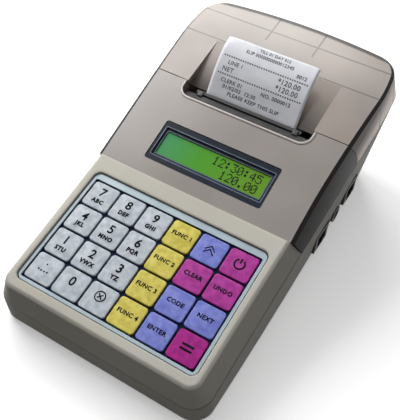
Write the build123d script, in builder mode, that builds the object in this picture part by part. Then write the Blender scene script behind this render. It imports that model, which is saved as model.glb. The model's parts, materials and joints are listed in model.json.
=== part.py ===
from build123d import *
import os
from math import atan2, cos, degrees, hypot, pi, radians, sin, sqrt

# Ticket register: a sloping keypad case with a smoked display cover and a smoked paper lid.
# Millimetres. +X right, +Y towards the back, +Z up, origin under the middle of the case.
# Most pieces are drawn in the deck frame: y runs up the slope of the keypad, z stands out of it,
# and its origin is the centre of the key field on the plane of the key tops.

os.makedirs("parts", exist_ok=True)

# --- Case -------------------------------------------------------------------------------------
DECK_TILT = 13.9
DECK_Y = -69.4
DECK_Z = 37.6
WALL = 2.2
SEAM_GAP = 0.2
FOOT_HEIGHT = 1.6
FOOT_RADIUS = 6.0
FOOT_SIDES = 24
FOOT_X = 48.0
FOOT_Y = 91.0

# Outlines seen square on: straight front, curved sides, bowed back. The half widths are those at
# the front, at the two stations along the side, and at the back corner.
SIDE_STATIONS = (0.42, 0.76)
# The widest line of the case, a plane parallel to the deck where the shells part.
CREASE_DROP = 12.0
CREASE = {
    "front": -46.5,
    "back": 183.5,
    "bow": 6.2,
    "halves": (61.9, 63.2, 64.7, 63.9),
    "corners": (11.5, 11.0),
}
# The bottom, flat on the floor plane.
BOTTOM = {
    "front": -110.2,
    "back": 109.4,
    "bow": 5.2,
    "halves": (62.0, 60.6, 57.9, 57.2),
    "corners": (11.0, 13.0),
}
BOTTOM_EDGE = 1.2
# The flat rim round the keypad, and how far its flank leans in from the crease.
RIM_TOP = 2.1
RIM_LEAN = 21.6
RIM_EDGE = 1.1
# The outline that the sides of the smoked cover and lid lean towards.
SHOULDER_Z = 14.0
SHOULDER = {
    "front": 40.0,
    "back": 179.2,
    "bow": 4.0,
    "halves": (52.0, 58.6, 62.5, 57.0),
    "corners": (10.0, 17.0),
}

# Smoked roof: one long arc over cover and lid.
ROOF_CROWN_Y = 148.0
ROOF_CROWN_Z = 10.1
ROOF_RADIUS = 567.0
ROOF_EDGE = 1.6
SEAM_Y = 47.5
SEAM_LEAN = 3.8
SPLIT_Y = 109.8
SPLIT_STRAIGHT_Z = 6.0
SPLIT_LOW_Y = 116.2
SPLIT_BOW_Y = 114.4
SPLIT_BOW_Z = -2.5
SPLIT_GAP = 0.5

# --- Keypad -----------------------------------------------------------------------------------
KEY_ROWS = [
    ["key_7", "key_8", "key_9", "key_yellow_1", "key_feed", "key_power"],
    ["key_4", "key_5", "key_6", "key_yellow_2", "key_magenta_1", "key_magenta_2"],
    ["key_1", "key_2", "key_3", "key_yellow_3", "key_blue_1", "key_blue_2"],
    ["key_point", "key_0", "key_cancel", "key_yellow_4", "key_blue_3", "key_total"],
]
PITCH_X = 16.8
PITCH_Y = 16.31
KEY_GAP = 1.6
KEY_CORNER = 1.4
KEY_CROWN = 0.7
KEY_CLEARANCE = 0.3
KEY_FLANGE = 0.45
KEY_DEPTH = 3.4
GRID_TOP = -0.7
GRID_SHELF = -1.4
GRID_WEB_BOTTOM = -2.2
GRID_MARGIN = 0.8
PANEL_CLEARANCE = 0.3
WELL_HALF_X = 53.0
WELL_FRONT = -35.3
WELL_BACK = 37.3
WELL_CORNER = 4.0
WELL_LEDGE = 1.2
SKIRT_WALL = 1.4
MAT_THICKNESS = 0.8
MAT_CLEARANCE = 1.0
DOME_HEIGHT = 2.6
DOME_BASE_RADIUS = 5.0
DOME_TOP_RADIUS = 2.6
DOME_SIDES = 6
BOARD_THICKNESS = 1.6
BOARD_LAP = 0.5

# --- Display ----------------------------------------------------------------------------------
DISPLAY_FRONT = 56.5
DISPLAY_BACK = 81.8
DISPLAY_WIDTH = 71.2
DISPLAY_CORNER = 1.5
DISPLAY_CLEARANCE = 0.15
BEZEL_TOP = -0.6
BEZEL_STEP = -1.8
BEZEL_SHELF = -2.6
BEZEL_BOTTOM = -3.9
BEZEL_FLANGE = 2.0
BEZEL_FLANGE_TOP = -2.5
BEZEL_STEP_WIDTH = 67.4
BEZEL_STEP_HEIGHT = 18.0
VIEW_WIDTH = 64.5
VIEW_HEIGHT = 14.5
GLASS_LAP = 0.9
DISPLAY_BOARD_WIDTH = 80.0
DISPLAY_BOARD_HEIGHT = 36.0

# --- Paper slot and chute ---------------------------------------------------------------------
SLOT_HALF_X = 40.0
SLOT_FRONT = 100.3
SLOT_CORNER = 6.0
SLOT_SKIRT = 6.5
SLOT_SKIRT_WALL = 1.4
SLOT_BEAD = 0.4
CHUTE_HALF_X = 39.5
CHUTE_WALL = 1.8
CHUTE_FRONT_Z = 0.5
CHUTE_BOW_Y = 125.0
CHUTE_BOW_Z = 6.6
CHUTE_BACK = 146.0
CHUTE_BACK_Z = 10.2
RIB_DEPTH = 3.0
RIB_WIDTH = 1.2
CROSS_RIBS = (145.0, 165.0)
LONG_RIB_X = 15.0
LONG_RIB_FRONT = 157.0
LONG_RIB_BACK = 177.0

# --- Printer ----------------------------------------------------------------------------------
PAPER_WIDTH = 57.0
PAPER_THICKNESS = 0.3
PAPER_CLEARANCE = 0.15
PAPER_EDGE_Z = -0.8
PLATEN_Y = 114.75
PLATEN_Z = -9.6
PLATEN_RADIUS = 4.6
PLATEN_LAP = 1.0
PLATEN_END_GAP = 1.9
SHAFT_RADIUS = 1.5
SHAFT_CLEARANCE = 0.05
FRAME_PLATE = 1.6
FRAME_FRONT = 102.3
FRAME_BACK = 118.0
FRAME_TOP = -5.0
FRAME_LEG_FRONT = 36.0
FRAME_LEG_BACK = 53.2
FRAME_CROSS_Z = 26.0
HEAD_THICKNESS = 2.4
HEAD_HEIGHT = 14.0
TEAR_BAR_TOP = 5.4
TEAR_BAR_HEIGHT = 13.0
TEAR_BAR_THICKNESS = 0.8
TEAR_BAR_LAP = 3.0
TEAR_TOOTH = 2.0
TEAR_TOOTH_HEIGHT = 0.9
GEAR_MODULE = 0.75
GEAR_PRESSURE = 25.0
GEAR_ADDENDUM = 0.8
GEAR_BACKLASH = 0.05
GEAR_GAP = 3.0
GEAR_WIDTH = 2.6
PLATEN_TEETH = 16
IDLER_TEETH = 14
PINION_TEETH = 10
IDLER_DIRECTION = -118.0
PINION_DIRECTION = -62.0
MOTOR_RADIUS = 6.2
MOTOR_LENGTH = 24.0

# --- Paper roll and its bucket ----------------------------------------------------------------
ROLL_Y = 78.8
ROLL_Z = 45.5
ROLL_RADIUS = 20.5
CORE_RADIUS = 6.5
CORE_WALL = 1.2
SPINDLE_CLEARANCE = 0.1
SPINDLE_END_RADIUS = 3.0
BUCKET_CLEARANCE = 1.8
BUCKET_WALL = 2.0
PAPER_SIDE = 2.5
BUCKET_TOP = 53.0
# Points of the paper that has come out, up from the slot, in the deck frame.
RECEIPT_CURVE = [(111.6, 3.4), (117.2, 9.2), (128.2, 18.2), (139.4, 22.9)]

# --- Lid hinge --------------------------------------------------------------------------------
HINGE_Y = 107.3
HINGE_Z = 72.4
BARREL_RADIUS = 2.6
BARREL_HALF_X = 38.0
HINGE_PIN_RADIUS = 1.0
HINGE_PIN_CLEARANCE = 0.05
HINGE_PIN_GRIP = 4.0
EAR_INSET = 8.0
EAR_HALF = 3.0
EAR_CLEARANCE = 0.4
EAR_FOOT = 14.0
EAR_NOTCH = 5.0
REAR_TOP = 67.6
LID_REAR_BOTTOM = 70.2
LID_REAR_FRONT = 105.5
LID_CLEARANCE = 0.4

# --- Electronics ------------------------------------------------------------------------------
MAIN_BOARD_TOP = 7.0
MAIN_BOARD_HALF_X = 48.8
MAIN_BOARD_FRONT = -52.0
MAIN_BOARD_BACK = 32.0
BOARD_TAB_X = 36.0
BOARD_TAB_BACK = 78.0
STANDOFF_RADIUS = 3.4
STANDOFF_X = 42.0
STANDOFF_Y = (-46.0, 12.0)
SOCKET_LENGTH = 17.0
SOCKET_HEIGHT = 13.0
SOCKET_DEPTH = 18.0
SOCKET_PROUD = 1.3
SOCKET_CLEARANCE = 0.2
SOCKET_Y = {"socket_front": 22.3, "socket_back": 68.3}
MOUTH_LENGTH = 11.8
MOUTH_HEIGHT = 8.4
MOUTH_DEPTH = 13.0
LATCH_LENGTH = 6.0
LATCH_HEIGHT = 2.2
JACK_Y = 45.3
JACK_RADIUS = 5.2
JACK_BORE = 3.1
JACK_PIN = 1.0
JACK_DEPTH = 11.0
JACK_LENGTH = 15.0
CELL_RADIUS = 7.2
CELL_LENGTH = 50.0
CELL_COUNT = 4
CELL_CLEARANCE = 0.2
HOLDER_WALL = 1.5
HOLDER_Y = -80.5

# --- Fixings ----------------------------------------------------------------------------------
SCREW_RADIUS = 1.4
SCREW_CLEARANCE = 0.2
SCREW_HEAD_RADIUS = 2.8
SCREW_HEAD_HEIGHT = 1.8
SCREW_GRIP = 7.0
BOSS_RADIUS = 4.5
POST_SIDES = 8
SCREW_SIDES = 12
BOSS_TOP = 14.0
FRONT_POST_X = 44.0
FRONT_POST_Y = -105.6
FRONT_POST_RADIUS = 3.0
BACK_POST_X = 53.5
BACK_POST_Y = 2.3
BACK_POST_RADIUS = 3.4

# --- Values worked out from these -------------------------------------------------------------
TILT_SIN = sin(radians(DECK_TILT))
TILT_COS = cos(radians(DECK_TILT))
FLOOR = FOOT_HEIGHT + WALL
REACH = CREASE["back"]
FAR = 60.0
EAR_X = BARREL_HALF_X - EAR_INSET
KEY_X = PITCH_X - KEY_GAP
KEY_Y = PITCH_Y - KEY_GAP
MAT_TOP = -KEY_DEPTH - DOME_HEIGHT
BOARD_TOP = MAT_TOP - MAT_THICKNESS
GRID_HALF_X = 3 * PITCH_X + GRID_MARGIN
GRID_HALF_Y = 2 * PITCH_Y + GRID_MARGIN
WELL_MIDDLE = (WELL_FRONT + WELL_BACK) / 2
WELL_LENGTH = WELL_BACK - WELL_FRONT
PAPER_Y = PLATEN_Y - PLATEN_RADIUS - PAPER_CLEARANCE - PAPER_THICKNESS / 2
PLATEN_LENGTH = PAPER_WIDTH + 2 * PLATEN_LAP
FRAME_HALF_X = PLATEN_LENGTH / 2 + PLATEN_END_GAP + FRAME_PLATE
TEAR_BAR_HALF_X = FRAME_HALF_X + TEAR_BAR_LAP
GEAR_X = FRAME_HALF_X + GEAR_GAP
BUCKET_HALF_X = PAPER_WIDTH / 2 + PAPER_SIDE

deck = Plane(origin=(0, DECK_Y, DECK_Z), x_dir=(1, 0, 0), z_dir=(0, -TILT_SIN, TILT_COS))
profile = Plane(origin=(0, DECK_Y, DECK_Z), x_dir=(0, TILT_COS, TILT_SIN), z_dir=(1, 0, 0))
upright = Plane(origin=(0, 0, 0), x_dir=(0, 1, 0), z_dir=(1, 0, 0))
crease_plane = deck.offset(-CREASE_DROP)


def roof_z(y, drop=0.0):
    """Height of the roof arc in the deck frame, lowered by drop."""
    radius = ROOF_RADIUS - drop
    return ROOF_CROWN_Z - ROOF_RADIUS + sqrt(radius**2 - (y - ROOF_CROWN_Y) ** 2)


def to_case(y, z):
    """The case's own Y and Z of a point of the deck frame."""
    return DECK_Y + y * TILT_COS - z * TILT_SIN, DECK_Z + y * TILT_SIN + z * TILT_COS


def to_deck(y, z):
    """The deck frame's y and z of a point of the case."""
    return (
        (y - DECK_Y) * TILT_COS + (z - DECK_Z) * TILT_SIN,
        (z - DECK_Z) * TILT_COS - (y - DECK_Y) * TILT_SIN,
    )


def side_points(plan, inset):
    """Points of a plan's right side, drawn in by inset, and the middle of its back."""
    front = plan["front"] + inset
    back = plan["back"] - inset
    stations = (front + share * (back - front) for share in SIDE_STATIONS)
    heights = [front, *stations, back - plan["bow"]]
    return [(half - inset, y) for half, y in zip(plan["halves"], heights)], back


def corners_of(sketch, side, end):
    """The two corners of an outline at one end of its sides."""
    x, y = side[end]
    return sketch.vertices().filter_by(lambda v: hypot(abs(v.X) - x, v.Y - y) < WALL / 2)


def outline(plan, inset=0.0):
    """Flat outline of a plan with curved sides and rounded corners, drawn in by inset."""
    side, back = side_points(plan, inset)
    with BuildSketch() as drawn:
        with BuildLine():
            right = ThreePointArc(*side[:3])
            TangentArc(side[2], side[3], tangent=right % 1)
            ThreePointArc(side[3], (0, back), (-side[3][0], side[3][1]))
            mirror(about=Plane.YZ)
            Line((-side[0][0], side[0][1]), side[0])
        make_face()
        for end, radius in zip((0, -1), plan["corners"]):
            fillet(corners_of(drawn, side, end), radius - inset)
    return drawn.sketch


def cut_corner(before, corner, after, size):
    """The two points at a distance from a corner towards its neighbours."""
    x, y = corner
    reaches = [(end, size / hypot(end[0] - x, end[1] - y)) for end in (before, after)]
    return [(x + (end[0] - x) * share, y + (end[1] - y) * share) for end, share in reaches]


def inner_points(plan, inset):
    """Points of a plan's hidden inner outline, drawn in by inset, its corners cut off."""
    side, back = side_points(plan, inset)
    front_cut, back_cut = ((radius - inset) * (2 - sqrt(2)) for radius in plan["corners"])
    left_front = (-side[0][0], side[0][1])
    right = cut_corner(left_front, side[0], side[1], front_cut)
    right += side[1:-1]
    right += cut_corner(side[-2], side[-1], (0, back), back_cut)
    return [*right, (0, back), *((-x, y) for x, y in reversed(right))]


def flat_form(low_plane, low, high_plane, high):
    """Solid between two outlines of as many points, its sides cut into flat triangles."""
    low = [low_plane.from_local_coords((x, y, 0)) for x, y in low]
    high = [high_plane.from_local_coords((x, y, 0)) for x, y in high]
    faces = [Face(Wire.make_polygon(low)), Face(Wire.make_polygon(high))]
    for a, b, c, d in zip(low, low[1:] + low[:1], high[1:] + high[:1], high):
        faces += [Face(Wire.make_polygon((a, b, c))), Face(Wire.make_polygon((a, c, d)))]
    return Solid(Shell(faces))


def ruled_form(*sections):
    """Solid with straight rulings through plane and outline pairs."""
    with BuildPart() as form:
        for plane, drawn in sections:
            with BuildSketch(plane):
                add(drawn)
        loft(ruled=True)
    return form.part


def roof_section(drop):
    """Side view of the space under the roof arc."""
    low_z = -CREASE_DROP - 1
    back_y = CREASE["back"] + FAR
    front = SHOULDER["front"] + 2
    middle = (front + back_y) / 2
    back = (back_y, roof_z(back_y, drop))
    with BuildSketch() as section:
        with BuildLine():
            ThreePointArc((front, roof_z(front, drop)), (middle, roof_z(middle, drop)), back)
            Polyline(back, (back_y, low_z), (front, low_z), (front, roof_z(front, drop)))
        make_face()
    return section.sketch


def under_roof(space, inset):
    """What a solid has under the roof, the roof drawn in by inset."""
    with BuildPart() as form:
        add(space)
        with BuildSketch(profile):
            add(roof_section(inset))
        extrude(amount=REACH, both=True, mode=Mode.INTERSECT)
    return form.part


def outer_form(grow):
    """Solid under the smoked cover and lid, from the crease to the roof, grown outwards."""
    low = (crease_plane, outline(CREASE, -grow))
    high = (deck.offset(SHOULDER_Z), outline(SHOULDER, -grow))
    return under_roof(ruled_form(low, high), -grow)


def inner_form(inset):
    """Hollow inside the smoked shell, drawn in by inset."""
    low, high = inner_points(CREASE, inset), inner_points(SHOULDER, inset)
    return under_roof(flat_form(crease_plane, low, deck.offset(SHOULDER_Z), high), inset)


def seam_region(shift):
    """Side view of everything behind the seam between keypad housing and display cover."""
    lean = SEAM_LEAN / (CREASE_DROP + roof_z(SEAM_Y))
    top = roof_z(SEAM_Y) + FAR / 2
    low = -CREASE_DROP - FAR / 2
    with BuildSketch() as region:
        with BuildLine():
            Polyline(
                (SEAM_Y + shift - lean * FAR / 2, top),
                (SEAM_Y + SEAM_LEAN + shift + lean * FAR / 2, low),
                (REACH + FAR, low),
                (REACH + FAR, top),
                close=True,
            )
        make_face()
    return region.sketch


def split_region(shift):
    """Side view of everything behind the line where the lid parts from the cover."""
    straight = (SPLIT_Y + shift, SPLIT_STRAIGHT_Z)
    low = (SPLIT_LOW_Y + shift, -CREASE_DROP)
    with BuildSketch() as region:
        with BuildLine():
            ThreePointArc(straight, (SPLIT_BOW_Y + shift, SPLIT_BOW_Z), low)
            Polyline(
                low,
                (low[0], -FAR),
                (REACH + FAR, -FAR),
                (REACH + FAR, FAR),
                (straight[0], FAR),
                straight,
            )
        make_face()
    return region.sketch


def block(x, y, z):
    """Box between three pairs of limits of the case."""
    with BuildPart() as piece:
        with BuildSketch(Plane.XY.offset(z[0])):
            with Locations(((x[0] + x[1]) / 2, (y[0] + y[1]) / 2)):
                Rectangle(x[1] - x[0], y[1] - y[0])
        extrude(amount=z[1] - z[0])
    return piece.part


def bar(side_view, y, z, radius, x_from, x_to):
    """Round bar along X at a place of a side view."""
    with BuildPart() as piece:
        with BuildSketch(side_view.offset(x_from)):
            with Locations((y, z)):
                Circle(radius)
        extrude(amount=x_to - x_from)
    return piece.part


def polar(y, z, radius, angle):
    """Point at a distance and an angle from a place of a side view."""
    return y + radius * cos(radians(angle)), z + radius * sin(radians(angle))


def write(part, name):
    """Label one finished piece and write it."""
    part.label = name
    export_step(part, f"parts/{name}.step")


def wall_x(y, z):
    """Outer half width of the lower wall near the case's own y and z."""
    share = (y - BOTTOM["front"]) / (BOTTOM["back"] - BOTTOM["front"])
    low_share, high_share = SIDE_STATIONS
    part = (share - low_share) / (high_share - low_share)
    bottom = BOTTOM["halves"][1] + (BOTTOM["halves"][2] - BOTTOM["halves"][1]) * part
    crease = CREASE["halves"][1] + (CREASE["halves"][2] - CREASE["halves"][1]) * part
    crease_z = to_case((y - DECK_Y) / TILT_COS, -CREASE_DROP)[1]
    return bottom + (crease - bottom) * (z - FOOT_HEIGHT) / (crease_z - FOOT_HEIGHT)


# --- Lower housing ----------------------------------------------------------------------------
SOCKET_Z = MAIN_BOARD_TOP + SOCKET_HEIGHT / 2
JACK_Z = MAIN_BOARD_TOP + JACK_RADIUS
front_posts = [(x, FRONT_POST_Y) for x in (-FRONT_POST_X, FRONT_POST_X)]
back_posts = [(x, BACK_POST_Y) for x in (-BACK_POST_X, BACK_POST_X)]
posts = front_posts + back_posts
standoffs = [(x, y) for x in (-STANDOFF_X, STANDOFF_X) for y in STANDOFF_Y]

with BuildPart() as lower_housing:
    add(
        ruled_form(
            (Plane.XY.offset(FOOT_HEIGHT), outline(BOTTOM, BOTTOM_EDGE)),
            (Plane.XY.offset(FOOT_HEIGHT + BOTTOM_EDGE), outline(BOTTOM)),
            (crease_plane, outline(CREASE)),
        )
    )
    hollow = flat_form(
        Plane.XY.offset(FLOOR), inner_points(BOTTOM, WALL), crease_plane, inner_points(CREASE, WALL)
    )
    add(hollow, mode=Mode.SUBTRACT)
    with BuildSketch(Plane.XY.offset(FLOOR)):
        with Locations(*posts):
            RegularPolygon(BOSS_RADIUS, POST_SIDES)
    extrude(amount=BOSS_TOP - FLOOR)
    with BuildSketch(Plane.XY.offset(FLOOR)):
        with Locations(*standoffs):
            RegularPolygon(STANDOFF_RADIUS, POST_SIDES)
    extrude(amount=MAIN_BOARD_TOP - BOARD_THICKNESS - FLOOR)
    with BuildSketch(Plane.XY.offset(FOOT_HEIGHT)):
        with Locations(*posts):
            Circle(SCREW_RADIUS + SCREW_CLEARANCE)
    extrude(amount=BOSS_TOP, mode=Mode.SUBTRACT)
    with BuildSketch(Plane.XY.offset(FOOT_HEIGHT)):
        with Locations(*posts):
            Circle(SCREW_HEAD_RADIUS + SCREW_CLEARANCE)
    extrude(amount=SCREW_HEAD_HEIGHT + WALL, mode=Mode.SUBTRACT)
    # the back edge is cut level so that the lid's barrel can turn over it
    add(block((-REACH, REACH), (-REACH, REACH), (REAR_TOP, REACH)), mode=Mode.SUBTRACT)
    for socket_y in SOCKET_Y.values():
        with BuildSketch(Plane.YZ.offset(wall_x(socket_y, SOCKET_Z) - 3 * WALL)):
            with Locations((socket_y, SOCKET_Z)):
                gap = 2 * SOCKET_CLEARANCE
                Rectangle(SOCKET_LENGTH + gap, SOCKET_HEIGHT + gap)
        extrude(amount=6 * WALL, mode=Mode.SUBTRACT)
    jack_hole = JACK_RADIUS + SOCKET_CLEARANCE
    add(bar(upright, JACK_Y, JACK_Z, jack_hole, BOARD_TAB_X, REACH), mode=Mode.SUBTRACT)
    # ears that hold the hinge pins
    for ear_x in (-EAR_X, EAR_X):
        with BuildSketch(upright.offset(ear_x - EAR_HALF)):
            with Locations((HINGE_Y, HINGE_Z)):
                Circle(BARREL_RADIUS)
            with Locations((HINGE_Y, HINGE_Z - EAR_FOOT / 2)):
                Rectangle(2 * BARREL_RADIUS, EAR_FOOT)
        extrude(amount=2 * EAR_HALF)
    add(bar(upright, HINGE_Y, HINGE_Z, HINGE_PIN_RADIUS, -REACH, REACH), mode=Mode.SUBTRACT)
write(lower_housing.part, "lower_housing")

# --- Upper housing ----------------------------------------------------------------------------
with BuildPart() as upper_housing:
    with BuildSketch(crease_plane):
        add(outline(CREASE))
    extrude(amount=CREASE_DROP + RIM_TOP, taper=RIM_LEAN)
    top = upper_housing.faces().sort_by(Axis(deck.origin, deck.z_dir))[-1]
    chamfer(top.edges(), RIM_EDGE)
    with BuildSketch(crease_plane):
        with BuildLine():
            Polyline(*inner_points(CREASE, WALL), close=True)
        make_face()
    extrude(amount=CREASE_DROP + RIM_TOP - WALL, taper=RIM_LEAN, mode=Mode.SUBTRACT)
    # skirt that carries the keypad and its board
    with BuildSketch(deck.offset(BOARD_TOP)):
        with Locations((0, WELL_MIDDLE)):
            Rectangle(2 * (WELL_HALF_X + SKIRT_WALL), WELL_LENGTH + 2 * SKIRT_WALL)
    extrude(amount=RIM_TOP - WALL / 2 - BOARD_TOP)
    with BuildSketch(deck.offset(BOARD_TOP)):
        with Locations((0, WELL_MIDDLE)):
            Rectangle(2 * (WELL_HALF_X - WELL_LEDGE), WELL_LENGTH - 2 * WELL_LEDGE)
    extrude(amount=FAR, mode=Mode.SUBTRACT)
    with BuildSketch(deck.offset(GRID_WEB_BOTTOM)):
        with Locations((0, WELL_MIDDLE)):
            RectangleRounded(2 * WELL_HALF_X, WELL_LENGTH, WELL_CORNER)
    extrude(amount=FAR, mode=Mode.SUBTRACT)
    with BuildSketch(Plane.XY.offset(BOSS_TOP)):
        with Locations(*front_posts):
            RegularPolygon(FRONT_POST_RADIUS, POST_SIDES)
    extrude(until=Until.NEXT)
    with BuildSketch(Plane.XY.offset(BOSS_TOP)):
        with Locations(*front_posts):
            Circle(SCREW_RADIUS)
    extrude(amount=SCREW_GRIP, mode=Mode.SUBTRACT)
    with BuildSketch(profile):
        add(seam_region(0))
    extrude(amount=REACH, both=True, mode=Mode.SUBTRACT)
write(upper_housing.part, "upper_housing")

# --- Feet and screws --------------------------------------------------------------------------
with BuildPart() as feet:
    with BuildSketch(Plane.XY):
        with GridLocations(2 * FOOT_X, 2 * FOOT_Y, 2, 2):
            RegularPolygon(FOOT_RADIUS, FOOT_SIDES)
    extrude(amount=FOOT_HEIGHT)
write(feet.part, "feet")

with BuildPart() as housing_screws:
    with BuildSketch(Plane.XY.offset(FLOOR)):
        with Locations(*posts):
            RegularPolygon(SCREW_HEAD_RADIUS, SCREW_SIDES)
    extrude(amount=SCREW_HEAD_HEIGHT)
    with BuildSketch(Plane.XY.offset(FLOOR + SCREW_HEAD_HEIGHT)):
        with Locations(*posts):
            RegularPolygon(SCREW_RADIUS, SCREW_SIDES)
    extrude(amount=BOSS_TOP + SCREW_GRIP - FLOOR - SCREW_HEAD_HEIGHT)
write(housing_screws.part, "housing_screws")

# --- Keypad -----------------------------------------------------------------------------------
key_places = {
    name: ((column - (len(names) - 1) / 2) * PITCH_X, ((len(KEY_ROWS) - 1) / 2 - row) * PITCH_Y)
    for row, names in enumerate(KEY_ROWS)
    for column, name in enumerate(names)
}


def key_outline(x, y, grow):
    """Outline of a key with its corners cut off, grown outwards."""
    with BuildSketch() as outline_of_key:
        with Locations((x, y)):
            Rectangle(KEY_X + 2 * grow, KEY_Y + 2 * grow)
        chamfer(outline_of_key.vertices(), KEY_CORNER)
    return outline_of_key.sketch


panel_size = (2 * (WELL_HALF_X - PANEL_CLEARANCE), WELL_LENGTH - 2 * PANEL_CLEARANCE)

with BuildPart() as key_grid:
    with BuildSketch(deck.offset(GRID_WEB_BOTTOM)):
        with Locations((0, WELL_MIDDLE)):
            RectangleRounded(*panel_size, WELL_CORNER - PANEL_CLEARANCE)
    extrude(amount=GRID_SHELF - GRID_WEB_BOTTOM)
    with BuildSketch(deck.offset(GRID_SHELF)):
        Rectangle(2 * GRID_HALF_X, 2 * GRID_HALF_Y)
    extrude(amount=GRID_TOP - GRID_SHELF)
    with BuildSketch(deck.offset(GRID_WEB_BOTTOM)):
        for key_x, key_y in key_places.values():
            add(key_outline(key_x, key_y, KEY_CLEARANCE))
    extrude(amount=FAR, mode=Mode.SUBTRACT)
write(key_grid.part, "key_grid")

with BuildPart() as keypad_panel:
    with BuildSketch(deck.offset(GRID_SHELF)):
        with Locations((0, WELL_MIDDLE)):
            RectangleRounded(*panel_size, WELL_CORNER - PANEL_CLEARANCE)
        Rectangle(2 * GRID_HALF_X, 2 * GRID_HALF_Y, mode=Mode.SUBTRACT)
    extrude(amount=GRID_TOP - GRID_SHELF)
write(keypad_panel.part, "keypad_panel")


def key_cap(x, y):
    """One key: cap with a crowned top, standing on a flange that the web holds down."""
    with BuildPart() as cap:
        with BuildSketch(deck.offset(-KEY_DEPTH)):
            with Locations((x, y)):
                Rectangle(KEY_X + 2 * KEY_FLANGE, KEY_Y + 2 * KEY_FLANGE)
        extrude(amount=KEY_DEPTH + GRID_WEB_BOTTOM - SHAFT_CLEARANCE)
        with BuildSketch(deck.offset(GRID_WEB_BOTTOM - SHAFT_CLEARANCE)):
            add(key_outline(x, y, 0))
        extrude(amount=SHAFT_CLEARANCE - GRID_WEB_BOTTOM)
        top = cap.faces().sort_by(Axis(deck.origin, deck.z_dir))[-1]
        chamfer(top.edges(), KEY_CROWN)
    return cap.part


for name, (key_x, key_y) in key_places.items():
    write(key_cap(key_x, key_y), name)

with BuildPart() as key_mat:
    with BuildSketch(deck.offset(BOARD_TOP)):
        with Locations((0, WELL_MIDDLE)):
            mat_margin = WELL_LEDGE + MAT_CLEARANCE
            Rectangle(2 * (WELL_HALF_X - mat_margin), WELL_LENGTH - 2 * mat_margin)
    extrude(amount=MAT_THICKNESS)
    with BuildSketch(deck.offset(MAT_TOP)):
        with GridLocations(PITCH_X, PITCH_Y, len(KEY_ROWS[0]), len(KEY_ROWS)):
            RegularPolygon(DOME_BASE_RADIUS, DOME_SIDES)
    dome_taper = degrees(atan2(DOME_BASE_RADIUS - DOME_TOP_RADIUS, DOME_HEIGHT))
    extrude(amount=DOME_HEIGHT, taper=dome_taper)
write(key_mat.part, "key_mat")

with BuildPart() as keypad_board:
    with BuildSketch(deck.offset(BOARD_TOP)):
        with Locations((0, WELL_MIDDLE)):
            Rectangle(2 * (WELL_HALF_X + BOARD_LAP), WELL_LENGTH + 2 * BOARD_LAP)
    extrude(amount=-BOARD_THICKNESS)
write(keypad_board.part, "keypad_board")

# --- Smoked shell, parted into cover and lid --------------------------------------------------
inner_roof = inner_form(WALL)
with BuildPart() as outer_roof:
    add(outer_form(0))
    roof = outer_roof.faces().filter_by(GeomType.CYLINDER).sort_by(SortBy.AREA)[-1]
    chamfer(roof.edges().sort_by(Axis.Y)[1:], ROOF_EDGE)

with BuildPart() as smoked:
    add(outer_roof.part)
    add(inner_roof, mode=Mode.SUBTRACT)

# --- Display ----------------------------------------------------------------------------------
display_y = (DISPLAY_FRONT + DISPLAY_BACK) / 2
display_lean = radians(DECK_TILT) + atan2(ROOF_CROWN_Y - display_y, ROOF_RADIUS)
display_height = DISPLAY_BACK - DISPLAY_FRONT
display = Plane(
    origin=(0, *to_case(display_y, roof_z(display_y))),
    x_dir=(1, 0, 0),
    z_dir=(0, -sin(display_lean), cos(display_lean)),
)

with BuildPart() as display_bezel:
    with BuildSketch(display.offset(BEZEL_BOTTOM)):
        RectangleRounded(DISPLAY_WIDTH, display_height, DISPLAY_CORNER)
    extrude(amount=BEZEL_TOP - BEZEL_BOTTOM)
    with BuildSketch(display.offset(BEZEL_BOTTOM)):
        Rectangle(DISPLAY_WIDTH + 2 * BEZEL_FLANGE, display_height + 2 * BEZEL_FLANGE)
    extrude(amount=BEZEL_FLANGE_TOP - BEZEL_BOTTOM)
    with BuildSketch(display.offset(BEZEL_STEP)):
        Rectangle(BEZEL_STEP_WIDTH, BEZEL_STEP_HEIGHT)
    extrude(amount=FAR, mode=Mode.SUBTRACT)
    with BuildSketch(display.offset(BEZEL_BOTTOM)):
        Rectangle(VIEW_WIDTH, VIEW_HEIGHT)
    extrude(amount=FAR, mode=Mode.SUBTRACT)
    with BuildSketch(display.offset(BEZEL_BOTTOM)):
        Rectangle(VIEW_WIDTH + 2 * GLASS_LAP, VIEW_HEIGHT + 2 * GLASS_LAP)
    extrude(amount=BEZEL_SHELF - BEZEL_BOTTOM, mode=Mode.SUBTRACT)
write(display_bezel.part, "display_bezel")

with BuildPart() as display_glass:
    with BuildSketch(display.offset(BEZEL_BOTTOM)):
        Rectangle(VIEW_WIDTH + 2 * GLASS_LAP, VIEW_HEIGHT + 2 * GLASS_LAP)
    extrude(amount=BEZEL_SHELF - BEZEL_BOTTOM)
write(display_glass.part, "display_glass")

with BuildPart() as display_board:
    with BuildSketch(display.offset(BEZEL_BOTTOM)):
        Rectangle(DISPLAY_BOARD_WIDTH, DISPLAY_BOARD_HEIGHT)
    extrude(amount=-BOARD_THICKNESS)
write(display_board.part, "display_board")


def slot_outline(grow):
    """Outline of the paper slot's notch in the cover, grown outwards, with rounded front corners."""
    half, front, back = SLOT_HALF_X + grow, SLOT_FRONT - grow, SLOT_FRONT + FAR
    with BuildSketch() as notch:
        with Locations((0, (front + back) / 2)):
            Rectangle(2 * half, back - front)
        fillet(notch.vertices().group_by(Axis.Y)[0], SLOT_CORNER + grow)
    return notch.sketch


with BuildPart() as slot_rim:
    with BuildSketch(deck.offset(roof_z(SLOT_FRONT) - SLOT_SKIRT)):
        add(slot_outline(SLOT_SKIRT_WALL))
        add(slot_outline(0), mode=Mode.SUBTRACT)
    extrude(amount=FAR)
    add(outer_form(SLOT_BEAD), mode=Mode.INTERSECT)

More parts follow.
